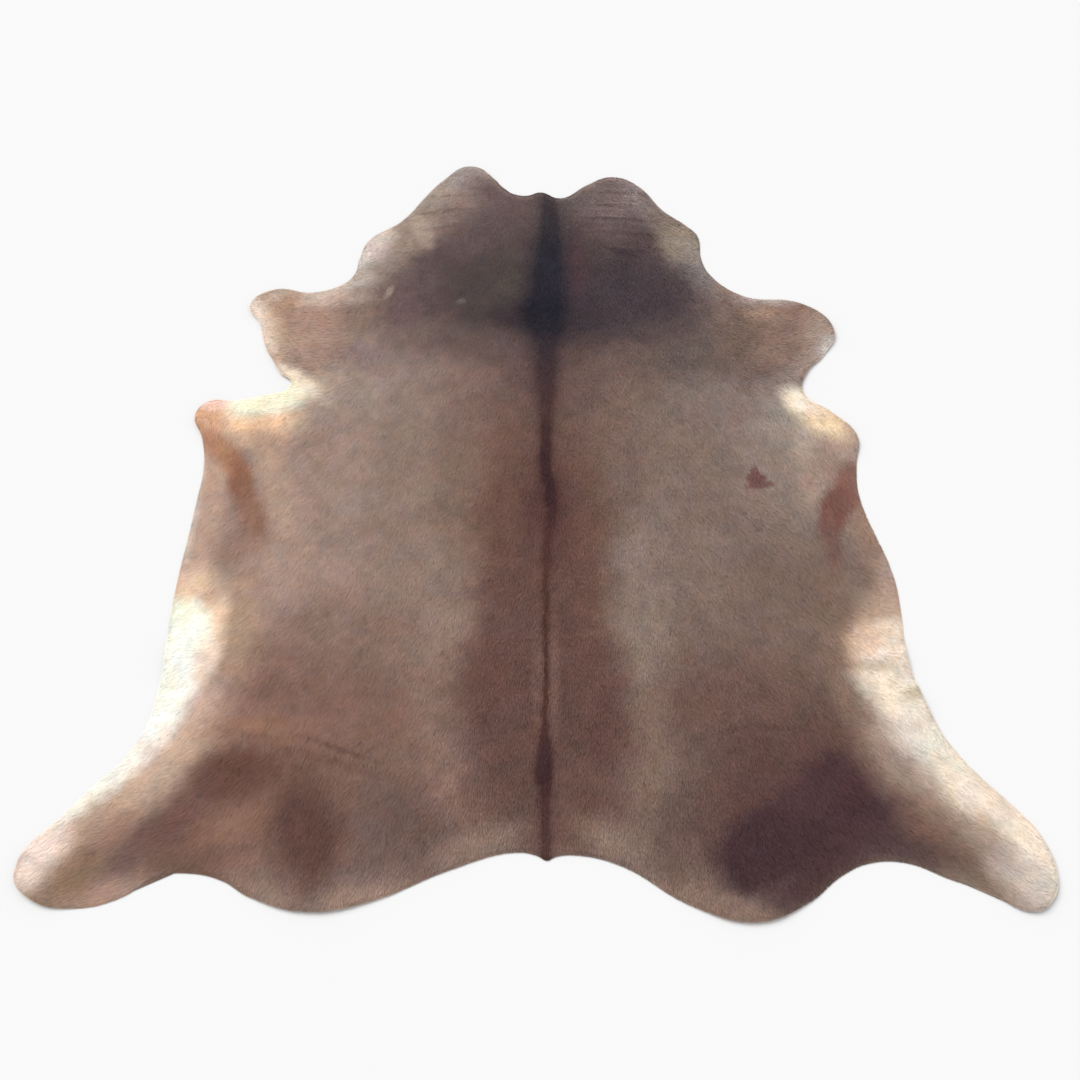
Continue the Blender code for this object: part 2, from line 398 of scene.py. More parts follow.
GROUND_COLOUR = (147, 123, 112)
MARKINGS = table(
    Marking,
    # the body's broad fields; the left side is painted paler and the right side darker, partly the coat's own
    # tone and partly painted light falling from the left
    ("left side", -500, -20, 90, 500, 340, (156, 133, 122), 1.0, 0.7),
    ("right side", 460, -100, 90, 620, 360, (130, 111, 102), 1.0, 0.6),
    ("right belly", 620, 60, 90, 200, 140, (146, 129, 120), 0.85),
    ("left shoulder", -460, 340, 0, 300, 140, (146, 126, 119), 0.8, 0.7),
    ("left shoulder, back", -490, 235, 0, 100, 60, (162, 144, 134), 0.7),
    ("left ribs, inner", -350, -80, 90, 300, 80, (140, 119, 108), 0.85),
    ("right shoulder", 420, 380, 0, 320, 150, (105, 90, 86), 0.95, 0.7),
    ("right shoulder, back", 450, 225, 0, 130, 75, (134, 117, 111), 0.8),
    ("right ribs, back", 580, -330, 0, 140, 120, (120, 99, 90), 0.85),
    ("left ribs, outer", -640, -240, 90, 200, 70, (172, 145, 130), 0.8),
    ("left loin", -460, -640, 0, 340, 200, (131, 102, 91), 1.0, 0.6),
    ("left loin, front", -385, -460, 0, 165, 90, (136, 112, 102), 0.7),
    ("right loin", 460, -660, 0, 320, 180, (110, 86, 78), 1.0, 0.7),
    ("left rump", -320, -910, -10, 200, 130, (113, 91, 84), 0.95, 0.7),
    ("right rump", 270, -890, 20, 180, 140, (112, 92, 85), 0.95, 0.7),
    ("back", 0, 200, 90, 360, 240, (124, 101, 92), 0.9, 0.6),
    # the red-brown bands beside the line, and the pale hair along them
    ("pale hair beside the left band", -225, -360, 92, 280, 55, (143, 122, 111), 0.9),
    ("pale hair beside the right band", 215, -360, 88, 300, 60, (142, 123, 113), 0.9),
    ("soft border of the left band", -212, -30, 92, 230, 60, (124, 101, 91), 0.85, 0.9),
    ("soft border of the right band", 205, 0, 90, 150, 45, (118, 96, 87), 0.7, 0.9),
    ("pale hair left of the band's end", -240, -660, 97, 170, 50, (142, 115, 104), 0.8),
    ("pale hair inside the left rump", -205, -848, -42, 85, 32, (139, 112, 101), 0.75),
    ("pale hair right of the band's end", 215, -760, 80, 140, 45, (130, 107, 96), 0.85),
    ("band, front", 0, 120, 90, 300, 120, (112, 86, 78), 0.85),
    ("band, left middle", -80, -160, 88, 240, 86, (107, 79, 70), 0.95, 0.7),
    ("band, right middle", 85, -180, 92, 260, 81, (108, 81, 72), 0.95, 0.7),
    ("band, waist", 8, -380, 90, 160, 152, (104, 77, 70), 0.9, 0.45),
    ("band, back", -12, -645, 90, 245, 192, (103, 76, 70), 1.0, 0.34),
    ("band, end", -7, -843, 90, 140, 156, (105, 80, 73), 0.95, 0.45),
    ("dark hair beside the bend", 10, -100, 92, 160, 55, (88, 60, 58), 0.85),
    ("pale hair left of the line", -19, -570, 90, 130, 11, (120, 91, 83), 0.7),
    ("pale hair right of the line", 18, -570, 90, 130, 11, (121, 93, 85), 0.8),
    ("pale hair left of the tail", -143, -938, 20, 80, 34, (142, 119, 109), 0.88),
    ("pale hair right of the tail", 136, -924, -24, 74, 34, (142, 120, 108), 0.92),
    # neck and saddle
    ("neck", 0, 740, 0, 460, 330, (90, 75, 75), 1.0, 0.45),
    ("nape", 0, 970, 0, 320, 120, (99, 84, 82), 0.9),
    ("left side of the neck", -365, 862, 52, 210, 92, (161, 142, 130), 0.95, 0.6),
    ("left lobe", -260, 1010, 70, 150, 105, (147, 128, 119), 0.95, 0.7),
    ("left lobe, front", -245, 1070, 10, 120, 55, (165, 152, 148), 0.85),
    ("left lobe, outer side", -325, 985, 62, 90, 40, (167, 152, 142), 0.85),
    ("left lobe, inner side", -150, 980, 120, 80, 50, (110, 92, 91), 0.8),
    ("right lobe", 220, 980, 100, 130, 105, (122, 105, 102), 0.95, 0.7),
    ("right lobe, outer rim", 285, 955, 118, 140, 40, (141, 126, 121), 0.85),
    ("right side of the neck", 365, 790, 112, 150, 44, (128, 112, 101), 0.9, 0.6),
    ("right cheek", 388, 770, 100, 90, 58, (152, 137, 122), 0.95, 0.55),
    ("right cheek, back", 416, 684, 112, 85, 53, (150, 142, 136), 0.95),
    ("left cheek", -503, 745, 68, 135, 50, (218, 206, 198), 1.0),
    ("left cheek, back", -475, 650, 60, 90, 45, (165, 149, 138), 0.8),
    ("pale patch on the left of the neck", -345, 830, 115, 70, 24, (180, 160, 143), 0.8, 0.45),
    ("dark hair under the left cheek", -350, 675, 25, 90, 50, (106, 91, 89), 0.85),
    ("saddle, far left", -370, 550, 15, 140, 90, (106, 87, 87), 0.9),
    ("saddle, left", -190, 620, 5, 140, 160, (82, 71, 70), 0.95, 0.6),
    ("saddle, right", 203, 590, -4, 198, 150, (73, 62, 66), 1.0, 0.5),
    ("saddle, middle", -30, 465, 0, 160, 100, (62, 52, 58), 0.9),
    ("hair behind the saddle", 5, 305, 0, 170, 105, (104, 84, 80), 0.65),
    ("behind the saddle", -210, 410, 3, 180, 55, (104, 87, 82), 0.85),
    ("mauve hair left of the line", -225, 820, 90, 90, 70, (106, 88, 87), 0.8),
    ("olive hair left of the line", -95, 670, 90, 100, 35, (86, 76, 70), 0.8),
    ("red hair right of the line", 90, 700, 90, 120, 28, (86, 64, 69), 0.85),
    # fore legs
    ("left fore leg", -645, 455, 80, 180, 150, (167, 139, 123), 1.0, 0.45),
    ("left fore leg, root", -498, 500, 85, 110, 54, (143, 119, 108), 0.8),
    ("grey hair behind the left fore leg", -500, 365, 10, 70, 40, (139, 121, 118), 0.8),
    ("left fore leg, front", -640, 578, 0, 125, 35, (208, 186, 172), 0.85),
    ("left fore leg, before the root", -560, 620, 22, 80, 25, (202, 187, 177), 0.9),
    ("left fore leg, tan", -703, 554, 50, 48, 28, (162, 128, 106), 0.65, 0.7),
    ("left fore leg, outer side", -748, 470, 110, 130, 36, (208, 180, 156), 0.85),
    ("left fore leg, pale rim", -785, 485, 113, 130, 32, (252, 234, 220), 1.0),
    ("right fore leg", 640, 465, 100, 165, 130, (141, 116, 105), 1.0, 0.5),
    ("right fore leg, root", 530, 440, 80, 110, 50, (116, 98, 88), 0.85),
    ("right fore leg, front", 618, 572, -6, 79, 30, (182, 168, 161), 1.0),
    ("right fore leg, tan front", 592, 518, -8, 50, 22, (168, 138, 120), 0.8),
    ("right fore leg, brown rim", 712, 526, -28, 48, 18, (126, 97, 85), 0.7),
    ("right fore leg, end", 712, 456, 85, 50, 30, (164, 138, 123), 0.7),
    ("right fore leg, outer side", 742, 415, 100, 95, 44, (161, 141, 131), 0.95),
    ("right fore leg, pale rim", 754, 376, 58, 95, 29, (222, 212, 205), 0.95),
    ("right fore leg, back", 680, 330, 60, 60, 25, (160, 138, 127), 0.8),
    # armpits and elbows
    ("beside the left armpit", -598, 228, 60, 97, 55, (182, 163, 148), 0.85),
    ("left armpit, back", -735, 120, 2, 105, 46, (206, 175, 149), 0.9),
    ("left armpit, front", -675, 285, -35, 80, 34, (240, 222, 200), 0.95, 0.6),
    ("left armpit, peach", -731, 158, 4, 90, 36, (247, 210, 173), 0.92, 0.7),
    ("left armpit", -732, 222, 7, 115, 50, (255, 249, 225), 1.0, 0.45),
    ("left elbow", -870, 150, 70, 75, 45, (216, 171, 140), 1.0, 0.6),
    ("left elbow, front", -850, 205, 10, 35, 20, (248, 212, 194), 0.9, 0.7),
    ("left elbow, rim", -882, 212, 30, 45, 14, (252, 232, 222), 0.9, 0.7),
    ("beside the right armpit", 606, 195, 72, 95, 50, (158, 142, 133), 0.85, 0.9),
    ("behind the right armpit", 655, 95, 70, 65, 34, (180, 162, 149), 0.9),
    ("right elbow", 735, 100, -50, 80, 40, (178, 155, 139), 0.9),
    ("right armpit, back", 698, 162, -35, 85, 42, (232, 208, 176), 0.97, 0.65),
    ("right armpit", 656, 211, -34, 52, 36, (246, 232, 212), 1.0, 0.6),
    # the left crescent and the belly's rim behind it
    ("pale hair inside the left crescent", -680, -10, 105, 150, 35, (183, 156, 136), 0.85),
    ("left ribs, rim", -825, -110, 90, 170, 45, (186, 156, 138), 0.95),
    ("left ribs, cut", -855, -100, 92, 170, 14, (212, 196, 184), 0.9),
    ("left crescent, tip", -866, 98, 120, 50, 30, (180, 130, 103), 0.95),
    ("left crescent, top", -795, 40, 122, 80, 28, (168, 125, 98), 1.0, 0.7),
    ("left crescent, middle", -750, -45, 104, 80, 30, (144, 101, 81), 1.0, 0.6),
    ("left crescent, bottom", -705, -150, 106, 85, 31, (141, 107, 91), 0.95, 0.75),
    ("left crescent, end", -729, -228, 80, 45, 30, (150, 120, 104), 0.8, 0.9),
    # the right crescent
    ("pale hair inside the right crescent", 672, -20, 65, 100, 35, (163, 140, 128), 0.9),
    ("right ribs, rim", 775, -200, 100, 140, 35, (148, 121, 106), 0.95),
    ("right ribs, pale rim", 808, -340, 92, 80, 32, (180, 156, 142), 0.95),
    ("right crescent, top", 752, -52, 76, 72, 36, (128, 93, 84), 1.0, 0.35),
    ("right crescent, middle", 699, -125, 68, 85, 34, (119, 83, 75), 1.0, 0.35),
    ("right crescent, bottom", 683, -220, 88, 80, 19, (121, 92, 84), 0.9, 0.6),
    ("small mark, top", 517, -8, 90, 18, 11, (116, 84, 80), 0.95, 0.3),
    ("small mark, middle", 517, -28, 12, 26, 19, (114, 82, 78), 0.95, 0.25),
    ("small mark, foot", 526, -48, 9, 38, 11, (116, 86, 82), 0.95, 0.3),
    # flanks
    ("before the left flank", -828, -350, 80, 72, 60, (230, 200, 174), 0.9, 0.7),
    ("inside the left flank", -705, -440, 90, 135, 46, (178, 150, 128), 0.85),
    ("beside the left flank", -762, -450, 84, 85, 32, (240, 212, 186), 1.0, 0.6),
    ("left flank", -838, -453, 92, 80, 82, (255, 254, 236), 1.0, 0.3),
    ("left flank, back", -862, -575, 66, 155, 93, (255, 253, 242), 1.0, 0.28),
    ("peach hair in the left flank", -762, -540, 82, 60, 24, (230, 204, 184), 0.9),
    ("mauve hair behind the left flank", -756, -636, 60, 60, 26, (208, 182, 168), 0.85),
    ("before the right flank", 765, -398, 80, 50, 56, (192, 164, 144), 0.85),
    ("inside the right flank", 675, -530, 90, 150, 42, (136, 112, 98), 0.8, 0.9),
    ("right flank, front", 790, -490, 90, 85, 86, (234, 214, 196), 1.0, 0.32),
    ("right flank, corner", 714, -486, 84, 70, 36, (210, 179, 156), 0.85, 0.7),
    ("right flank, back", 786, -590, 94, 86, 92, (240, 226, 212), 1.0, 0.3),
    ("pale hair in the right flank", 726, -586, -26, 48, 22, (252, 236, 220), 0.8),
    # hind legs
    ("left hind leg", -900, -900, 50, 260, 110, (166, 139, 122), 1.0, 0.6),
    ("left hind leg, middle", -820, -755, 55, 134, 55, (206, 177, 155), 0.93),
    ("left hind leg, pale rim", -1000, -820, 46, 240, 60, (255, 246, 232), 1.0, 0.5),
    ("left stifle", -884, -664, 58, 160, 66, (255, 251, 241), 1.0, 0.45),
    ("left hind leg, inner side", -850, -955, 30, 110, 41, (120, 95, 88), 1.0),
    ("left hind leg, olive hair", -957, -1018, 50, 85, 36, (138, 110, 89), 0.9),
    ("left hind leg, brown hair", -895, -913, 45, 60, 30, (146, 112, 96), 0.6),
    ("left hind leg, taupe hair", -1004, -941, 50, 55, 28, (200, 173, 152), 0.95),
    ("left hind leg, back", -885, -1038, 12, 92, 30, (166, 136, 122), 0.85),
    ("left hind leg, end", -1040, -975, 60, 80, 34, (232, 214, 203), 0.95),
    ("right hind leg, inner strip", 776, -798, 122, 160, 76, (166, 141, 124), 1.0, 0.7),
    ("right stifle, inner strip", 750, -740, 114, 85, 50, (190, 170, 156), 0.95),
    ("right hind leg", 960, -849, 120, 340, 96, (231, 215, 197), 1.0, 0.44),
    ("right stifle", 811, -688, 117, 150, 71, (234, 221, 205), 1.0, 0.5),
    ("grey hair behind the right flank", 680, -634, 62, 60, 34, (126, 106, 94), 0.45, 0.9),
    ("right hind leg, inner side", 785, -960, 150, 105, 54, (104, 82, 74), 1.0),
    ("right hind leg, brown hair", 774, -883, 128, 62, 38, (116, 88, 76), 0.65),
    ("right hind leg, mauve hair", 925, -985, 108, 75, 34, (158, 141, 130), 0.85),
    ("right hind leg, back rim", 895, -1040, 152, 85, 24, (124, 106, 94), 0.95),
    ("right hind leg, end", 985, -1035, 140, 70, 45, (206, 193, 181), 0.8),
    # thighs
    ("left thigh, tan hair", -620, -690, 0, 90, 35, (150, 114, 95), 0.8),
    ("left thigh", -640, -880, 15, 190, 130, (124, 94, 82), 0.95, 0.6),
    ("left thigh, outer patch", -662, -786, 8, 99, 56, (106, 76, 67), 1.0, 0.45),
    ("left thigh, patch towards the hock", -765, -880, 50, 85, 42, (113, 84, 77), 0.9),
    ("left thigh, pale middle", -640, -905, 20, 60, 35, (138, 107, 92), 0.8),
    ("left thigh, inner patch", -490, -933, 103, 128, 66, (96, 70, 64), 1.0, 0.6),
    # painted shade in the folds and creases of the left thigh, the right flank and the right neck
    ("shade in the left thigh fold", -475, -757, -17, 150, 12, (112, 84, 73), 0.6, 0.9),
    ("shade in the right flank, front", 735, -541, 4, 42, 12, (188, 172, 150), 0.85, 0.9),
    ("shade in the right flank, back", 815, -605, 16, 38, 12, (196, 180, 158), 0.85, 0.9),
    ("shade behind the right flank", 828, -670, 22, 36, 12, (214, 197, 178), 0.7, 0.9),
    ("shade in the right neck", 226, 742, -14, 34, 6, (58, 46, 50), 0.7, 0.9),
    # the coat's own colour again: rims, thighs and small specks
    ("left buttock, rim", -335, -1055, 8, 105, 26, (154, 127, 113), 0.9),
    ("dark hair by the left hock", -745, -985, -5, 60, 34, (108, 84, 74), 0.9),
    ("round the right thigh", 515, -845, 22, 225, 165, (97, 71, 66), 0.95, 0.55),
    ("right thigh", 565, -905, 6, 175, 85, (77, 56, 59), 1.0, 0.3),
    ("right thigh, top", 605, -828, 100, 80, 68, (76, 54, 57), 1.0, 0.45),
    ("right thigh, front border", 540, -845, 40, 120, 55, (80, 58, 59), 0.9, 0.6),
    ("right thigh, lower end", 457, -951, 24, 120, 80, (71, 52, 55), 1.0, 0.35),
    ("right thigh, cut side", 560, -1010, 32, 150, 50, (78, 58, 58), 1.0, 0.6),
    ("right thigh, hock side", 712, -966, 5, 70, 36, (84, 66, 65), 0.9),
    ("right buttock, rim", 350, -1068, -16, 115, 24, (138, 113, 101), 0.9),
    ("pale speck, left of the saddle", -428, 598, 70, 21, 9, (160, 143, 134), 0.9, 0.6),
    ("pale speck, right of it", -230, 562, 20, 13, 10, (110, 103, 98), 0.85, 0.6),
)

# The hair pales a little in a narrow rim along the cut.
RIM_COLOUR = (214, 192, 172)
RIM_WIDTH = 0.008
RIM_STRENGTH = 0.16

# The dark line down the back: where it runs, how wide it is, its own colour, and how strongly it shows.
LinePoint = namedtuple("LinePoint", "y x half_width blur colour strength")

BACK_LINE = table(
    LinePoint,
    (1000, 10, 8, 20, (72, 64, 68), 0.85),
    (920, 14, 14, 18, (57, 51, 56), 0.9),
    (800, 13, 20, 34, (46, 44, 50), 0.95),
    (700, 9, 24, 40, (45, 43, 52), 1.0),
    (600, 4, 28, 46, (45, 42, 51), 1.0),
    (530, -2, 34, 50, (40, 38, 46), 1.0),
    (460, 2, 26, 50, (45, 42, 49), 1.0),
    (380, 4, 14, 34, (58, 48, 53), 0.92),
    (280, 3, 12, 30, (69, 50, 52), 0.88),
    (180, 1, 8, 20, (75, 51, 49), 0.9),
    (80, 1, 7.5, 12, (67, 45, 47), 0.95),
    (0, -1, 7.5, 11, (61, 41, 44), 0.95),
    (-40, 6, 8, 11, (62, 42, 45), 0.95),
    (-100, 16, 7.5, 10, (66, 44, 46), 0.95),
    (-150, 12, 6.5, 10, (71, 47, 48), 0.9),
    (-210, 3, 4, 11, (77, 50, 48), 0.85),
    (-350, -1, 2, 7.5, (79, 52, 46), 0.82),
    (-550, 0, 1.5, 4.5, (76, 49, 42), 0.9),
    (-670, -3, 2, 6, (76, 49, 46), 0.85),
    (-750, -6, 12, 10, (67, 46, 51), 0.95),
    (-800, -5, 10, 11, (65, 43, 46), 0.95),
    (-850, -4, 5, 10, (73, 49, 47), 0.9),
    (-980, -2, 6, 10, (78, 57, 55), 0.85),
)
print("markings:", len(MARKINGS), " places on the back line:", len(BACK_LINE))

# %% [markdown]
# ## Working the colour out
#
# A shade card is read in display numbers, but light adds up in linear ones, so each colour is turned to
# linear before it is mixed. The mottling is value noise: random numbers on a net of squares, smoothed
# between. Three sizes of it stand for the tufts, the blotches and the slow drift of shade.

# %% Colour at any point of the hide
LIGHT_ON_COAT = 0.935  # what white hair would show here, where 1 is full white
GLOSS = 0.0115  # what black hair shows here
WHITEST = 0.95  # the palest hair's strongest colour
DARKEST, BRIGHTEST = 0.002, 0.97  # no colour goes past these

# The lamp stands at the left of the head, so hair that lies to the right or at the tail shows more of it.
# There the colour is painted darker by these shares: painted shade that evens the lamp's light out.
LIGHT_TO_THE_RIGHT = 0.045
LIGHT_TO_THE_TAIL = 0.054
LIGHT_TURNS_OVER = 0.2  # metres from the backbone

# Noise is added up from layers, each with its strength, its size in metres and its random numbers' seed.
Layer = namedtuple("Layer", "strength size seed")

NOISE_SIDE = 512  # random numbers along one side of a layer's net
NOISE_SHIFT = 200.0  # squares, so that the hide's middle isn't at the net's corner
BEND_ACROSS = table(Layer, (0.022, 0.13, 1), (0.01, 0.045, 2), (0.007, 0.018, 15))
BEND_ALONG = table(Layer, (0.022, 0.13, 3), (0.01, 0.045, 4), (0.007, 0.018, 16))
BENDS_WHOLLY = 0.1  # metres: the rim of a narrower oval bends less
LINE_WANDERS = table(Layer, (0.003, 0.02, 5))
LINE_FADE = 1.4  # how suddenly the back line's colour ends: 1 is slow, and 4 would be crisp

MOTTLE = table(Layer, (0.04, 0.007, 6), (0.09, 0.019, 7), (0.085, 0.043, 8))
PALE_FLECKS, DARK_FLECKS = table(Layer, (0.12, 0.01, 13), (0.3, 0.01, 14))
FLECK_SLOPE, FLECK_START = 5.0, 4.0  # a fleck shows only where its noise is over 0.8
WARM_LAYERS = table(Layer, (0.042, 0.025, 9), (0.02, 0.09, 10))
MAUVE_LAYERS = table(Layer, (0.018, 0.035, 17), (0.012, 0.12, 18))
WARM = np.array([1.0, 0.0, -1.0])  # what a warmer tint adds to red, green and blue
MAUVE = np.array([0.5, -1.0, 0.5])


def linear(colour):
    """A shade-card colour as the linear colour that shows it here: the standard display curve undone, less
    the gloss, over the light on the coat. Where that is too bright for hair, the whole colour is darkened,
    so that its tint stays."""
    value = np.asarray(colour, float) / 255.0
    value = np.where(value <= 0.04045, value / 12.92, ((value + 0.055) / 1.055) ** 2.4)
    value = np.maximum(value - GLOSS, DARKEST) / LIGHT_ON_COAT
    return value / np.maximum(value.max(axis=-1, keepdims=True) / WHITEST, 1.0)


def noise(x, y, size, seed):
    """Value noise from -1 to 1: random numbers on a net of squares of this size, mixed by a smooth step."""
    values = np.random.default_rng(seed).uniform(-1.0, 1.0, (NOISE_SIDE, NOISE_SIDE))
    u, v = x / size + NOISE_SHIFT, y / size + NOISE_SHIFT
    i, j = np.floor(u).astype(int), np.floor(v).astype(int)
    u, v = u - i, v - j
    u, v = u * u * (3 - 2 * u), v * v * (3 - 2 * v)
    return corners_mixed(values, i % (NOISE_SIDE - 1), j % (NOISE_SIDE - 1), u, v)


def layered(x, y, layers):
    """Layers of noise added up, each times its strength."""
    return sum(layer.strength * noise(x, y, layer.size, layer.seed) for layer in layers)


def smooth_fade(value):
    """0 below 0, 1 above 1, and a smooth step between."""
    value = np.clip(value, 0.0, 1.0)
    return value * value * (3 - 2 * value)


def lay_on(colour, over, share):
    """Paints one colour over another by a share that changes from point to point."""
    return colour + (over - colour) * share[:, None]


def line_value(column, y):
    """A column of the back line's table at any y, by straight lines between its rows."""
    rows = sorted(BACK_LINE, key=lambda row: row.y)
    return np.interp(y, [row.y for row in rows], [column(row) for row in rows])


def painted(x, y):
    """The ground colour, every marking laid on in turn, and the pale rim."""
    bend_x, bend_y = layered(x, y, BEND_ACROSS), layered(x, y, BEND_ALONG)
    colour = np.tile(linear(GROUND_COLOUR), (len(x), 1))
    for mark in MARKINGS:
        bend = min(mark.half_width / BENDS_WHOLLY, 1.0)
        r = oval(x + bend * bend_x, y + bend * bend_y, mark)
        share = mark.strength * smooth_fade((1 + mark.soft - r) / (2 * mark.soft))
        colour = lay_on(colour, linear(mark.colour), share)
    rim = RIM_STRENGTH * np.exp(-np.clip(from_edge(x, y), 0.0, 1.0) / RIM_WIDTH)
    return lay_on(colour, linear(RIM_COLOUR), rim)


def with_back_line(x, y, colour):
    """A colour with the dark line down the back laid over it."""
    off = np.abs(x - line_value(lambda row: row.x, y) + layered(x, y, LINE_WANDERS))
    half = line_value(lambda row: row.half_width, y)
    blur = line_value(lambda row: row.blur, y)
    share = np.exp(-(np.clip(off - half, 0.0, 1.0) / blur) ** LINE_FADE)
    share = share * line_value(lambda row: row.strength, y)
    line = np.stack([line_value(lambda row: row.colour[i], y) for i in range(3)], axis=1)
    return lay_on(colour, linear(line), share)


def flecks(x, y, layer):
    """Small spots of a layer's strength, where its noise is high."""
    return layer.strength * smooth_fade(FLECK_SLOPE * noise(x, y, layer.size, layer.seed) - FLECK_START)


def mottled(x, y, colour):
    """A colour in small lighter and darker, warmer and cooler patches, with painted shade where the lamp falls
    strongest.
    """
    tone = layered(x, y, MOTTLE) + (flecks(x, y, PALE_FLECKS) - flecks(x, y, DARK_FLECKS))
    tint = 1.0 + tone[:, None] + layered(x, y, WARM_LAYERS)[:, None] * WARM
    tint = tint + layered(x, y, MAUVE_LAYERS)[:, None] * MAUVE
    light = 1.0 + LIGHT_TO_THE_RIGHT * np.tanh(x / LIGHT_TURNS_OVER) - LIGHT_TO_THE_TAIL * y
    return np.clip(colour * tint / light[:, None], DARKEST, BRIGHTEST)


def coat_colour(x, y):
    """The coat's linear colour at every point."""
    return mottled(x, y, with_back_line(x, y, painted(x, y)))


sample = coat_colour(np.array([-0.5, 0.5]), np.array([-0.1, -0.1]))
print("linear colour of the left and right sides:", sample.round(3).tolist())

# %% [markdown]
# ## The leather
#
# A tanner's sheet is one closed skin: hair side up, flesh side down, and a narrow cut edge between. A flat
# picture of it cut with a Boolean would leave long thin triangles along the cut. Here ribs run out from the
# backbone to the edge, as an animal's do, and each rib is a ring that goes over the top and back
# underneath, so the whole sheet is one grid of squares with no seam.

# %% Ribs from the backbone to the edge
CUT_BACK = 0.0035  # the knife's cut lies this far inside the tips of the hair
RIB_SQUARES = 54  # squares along a rib, on each side
RIM_STEP = 0.002  # the last point but one of a rib's side lies this far inside its end
RIM_STEP_MOST = 0.3  # and at most this share of a square, where ribs are short
RIM_BULGE = 0.0004  # how far the cut edge is rounded out
RIB_DECIMALS = 5  # ribs that start in the same hundredth of a millimetre are one
TINY = 1e-9  # keeps a division by nought away


def rib_starts(places):
    """Where the ribs of one side start, with EDGE_STEPS ribs to each place of its table."""
    number = np.arange((len(places) - 1) * EDGE_STEPS + 1) / EDGE_STEPS
    return np.interp(number, np.arange(len(places)), [place.rib for place in places])


def edge_number(places, first, starts):
    """Which point of the whole outline each rib ends at, read backwards from the side's rib column."""
    ribs = np.array([place.rib for place in places])
    order = np.argsort(ribs)
    return first + np.interp(starts, ribs[order], np.arange(len(places))[order])


both = np.concatenate([rib_starts(LEFT_EDGE), rib_starts(RIGHT_EDGE)])
starts = np.unique(both.round(RIB_DECIMALS))[::-1]
ends, outs = [], []
for places, first in ((LEFT_EDGE, 0), (RIGHT_EDGE, len(LEFT_EDGE) - 1)):
    point, out = edge_at(edge_number(places, first, starts))
    ends.append(point - CUT_BACK * out)
    outs.append(out)
share = (starts[0] - starts) / (starts[0] - starts[-1])
backbone = ends[0][0] + share[:, None] * (ends[0][-1] - ends[0][0])
print("ribs:", len(starts), " from", backbone[0].round(3), "to", backbone[-1].round(3))


def side_points(end):
    """Points of one side, ribs by steps: straight from the backbone to the rib's end, with one step more
    just inside the cut, which holds the rim's roundness there."""
    reach = end - backbone
    reach[0], reach[-1] = 0.0, 0.0
    length = np.maximum(np.linalg.norm(reach, axis=1), TINY)
    steps = np.tile(np.arange(RIB_SQUARES + 1) / RIB_SQUARES, (len(starts), 1))
    inner = 1.0 - np.minimum(RIM_STEP / length, RIM_STEP_MOST / RIB_SQUARES)
    steps = np.concatenate([steps[:, :-1], inner[:, None], steps[:, -1:]], axis=1)
    return backbone[:, None, :] + steps[:, :, None] * reach[:, None, :]


def ring_of(flat, height):
    """Flat points given one height each, as an array of ribs by ring steps by x, y and z."""
    return np.concatenate([flat, height[:, :, None]], axis=2)


left, right = side_points(ends[0]), side_points(ends[1])
across = np.concatenate([left[:, ::-1], right[:, 1:]], axis=1)
top = ring_of(across, leather_top(across[:, :, 0], across[:, :, 1]))
under = ring_of(across, lift(across[:, :, 0], across[:, :, 1]))
# The rim's middle ring, half way down the cut. At the poll and at the tail both sides share one point of it.
rims = []
for side, column in ((0, 0), (1, -1)):
    point = ends[side] + RIM_BULGE * outs[side]
    point[0], point[-1] = (ends[side] + RIM_BULGE * outs[0])[[0, -1]]
    half = (top[:, column, 2] + under[:, column, 2]) / 2
    rims.append(ring_of(point[:, None, :], half[:, None]))
rings = np.concatenate([top, rims[1], under[:, ::-1], rims[0]], axis=1)
print("the sheet's rings:", rings.shape)

# %% [markdown]
# ## Arrays into meshes
#
# Blender will take a mesh as a few long arrays, which is much faster than adding points one by one. Where a
# ring shrinks to a point, at the poll and at the tail, some corners fall on each other. They are made one,
# and a square with two corners in one place becomes a triangle.

# %% Mesh helpers
POINT_DECIMALS = 7  # points in the same ten-thousandth of a millimetre are one


def ring_squares(rows, columns):
    """Corner numbers of the squares of a grid of points whose rows close on themselves as rings."""
    numbers = np.arange(rows * columns).reshape(rows, columns)
    after = np.roll(numbers, -1, axis=1)
    squares = np.stack([numbers[:-1], numbers[1:], after[1:], after[:-1]], axis=-1)
    return squares.reshape(-1, 4)


def welded(points, faces):
    """Points in one place made one. Each face keeps a flag for every corner that differs from the next."""
    places = points.round(POINT_DECIMALS)
    _, kept, same = np.unique(places, axis=0, return_index=True, return_inverse=True)
    faces = same.reshape(-1)[faces]
    differs = faces != np.roll(faces, -1, axis=1)
    return points[kept], kept, faces, differs


def new_mesh(name, points, faces, differs=None):
    """A mesh object at the origin from points and faces, all put in as whole arrays."""
    differs = np.ones(faces.shape, bool) if differs is None else differs
    count = differs.sum(axis=1)
    mesh = bpy.data.meshes.new(name)
    mesh.vertices.add(len(points))
    mesh.vertices.foreach_set("co", points.astype(np.float32).ravel())
    mesh.loops.add(int(count.sum()))
    mesh.loops.foreach_set("vertex_index", faces[differs].astype(np.int32))
    mesh.polygons.add(len(faces))
    mesh.polygons.foreach_set("loop_start", (np.cumsum(count) - count).astype(np.int32))
    mesh.update(calc_edges=True)
    mesh.shade_smooth()
    piece = bpy.data.objects.new(name, mesh)
    bpy.context.scene.collection.objects.link(piece)
    return piece


def give_colours(piece, colours):
    """The coat's colour at every point, as the attribute named coat."""
    layer = piece.data.color_attributes.new(name="coat", type="FLOAT_COLOR", domain="POINT")
    flat = np.ones((len(colours), 4), np.float32)
    flat[:, :3] = colours
    layer.data.foreach_set("color", flat.ravel())


def give_map(piece, name, places):
    """A UV map from one pair of numbers for each corner of each face."""
    layer = piece.data.uv_layers.new(name=name)
    layer.uv.foreach_set("vector", places.astype(np.float32).ravel())


def moved(points):
    """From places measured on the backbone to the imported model's own origin."""
    return points - np.array([*MIDDLE, 0.0])


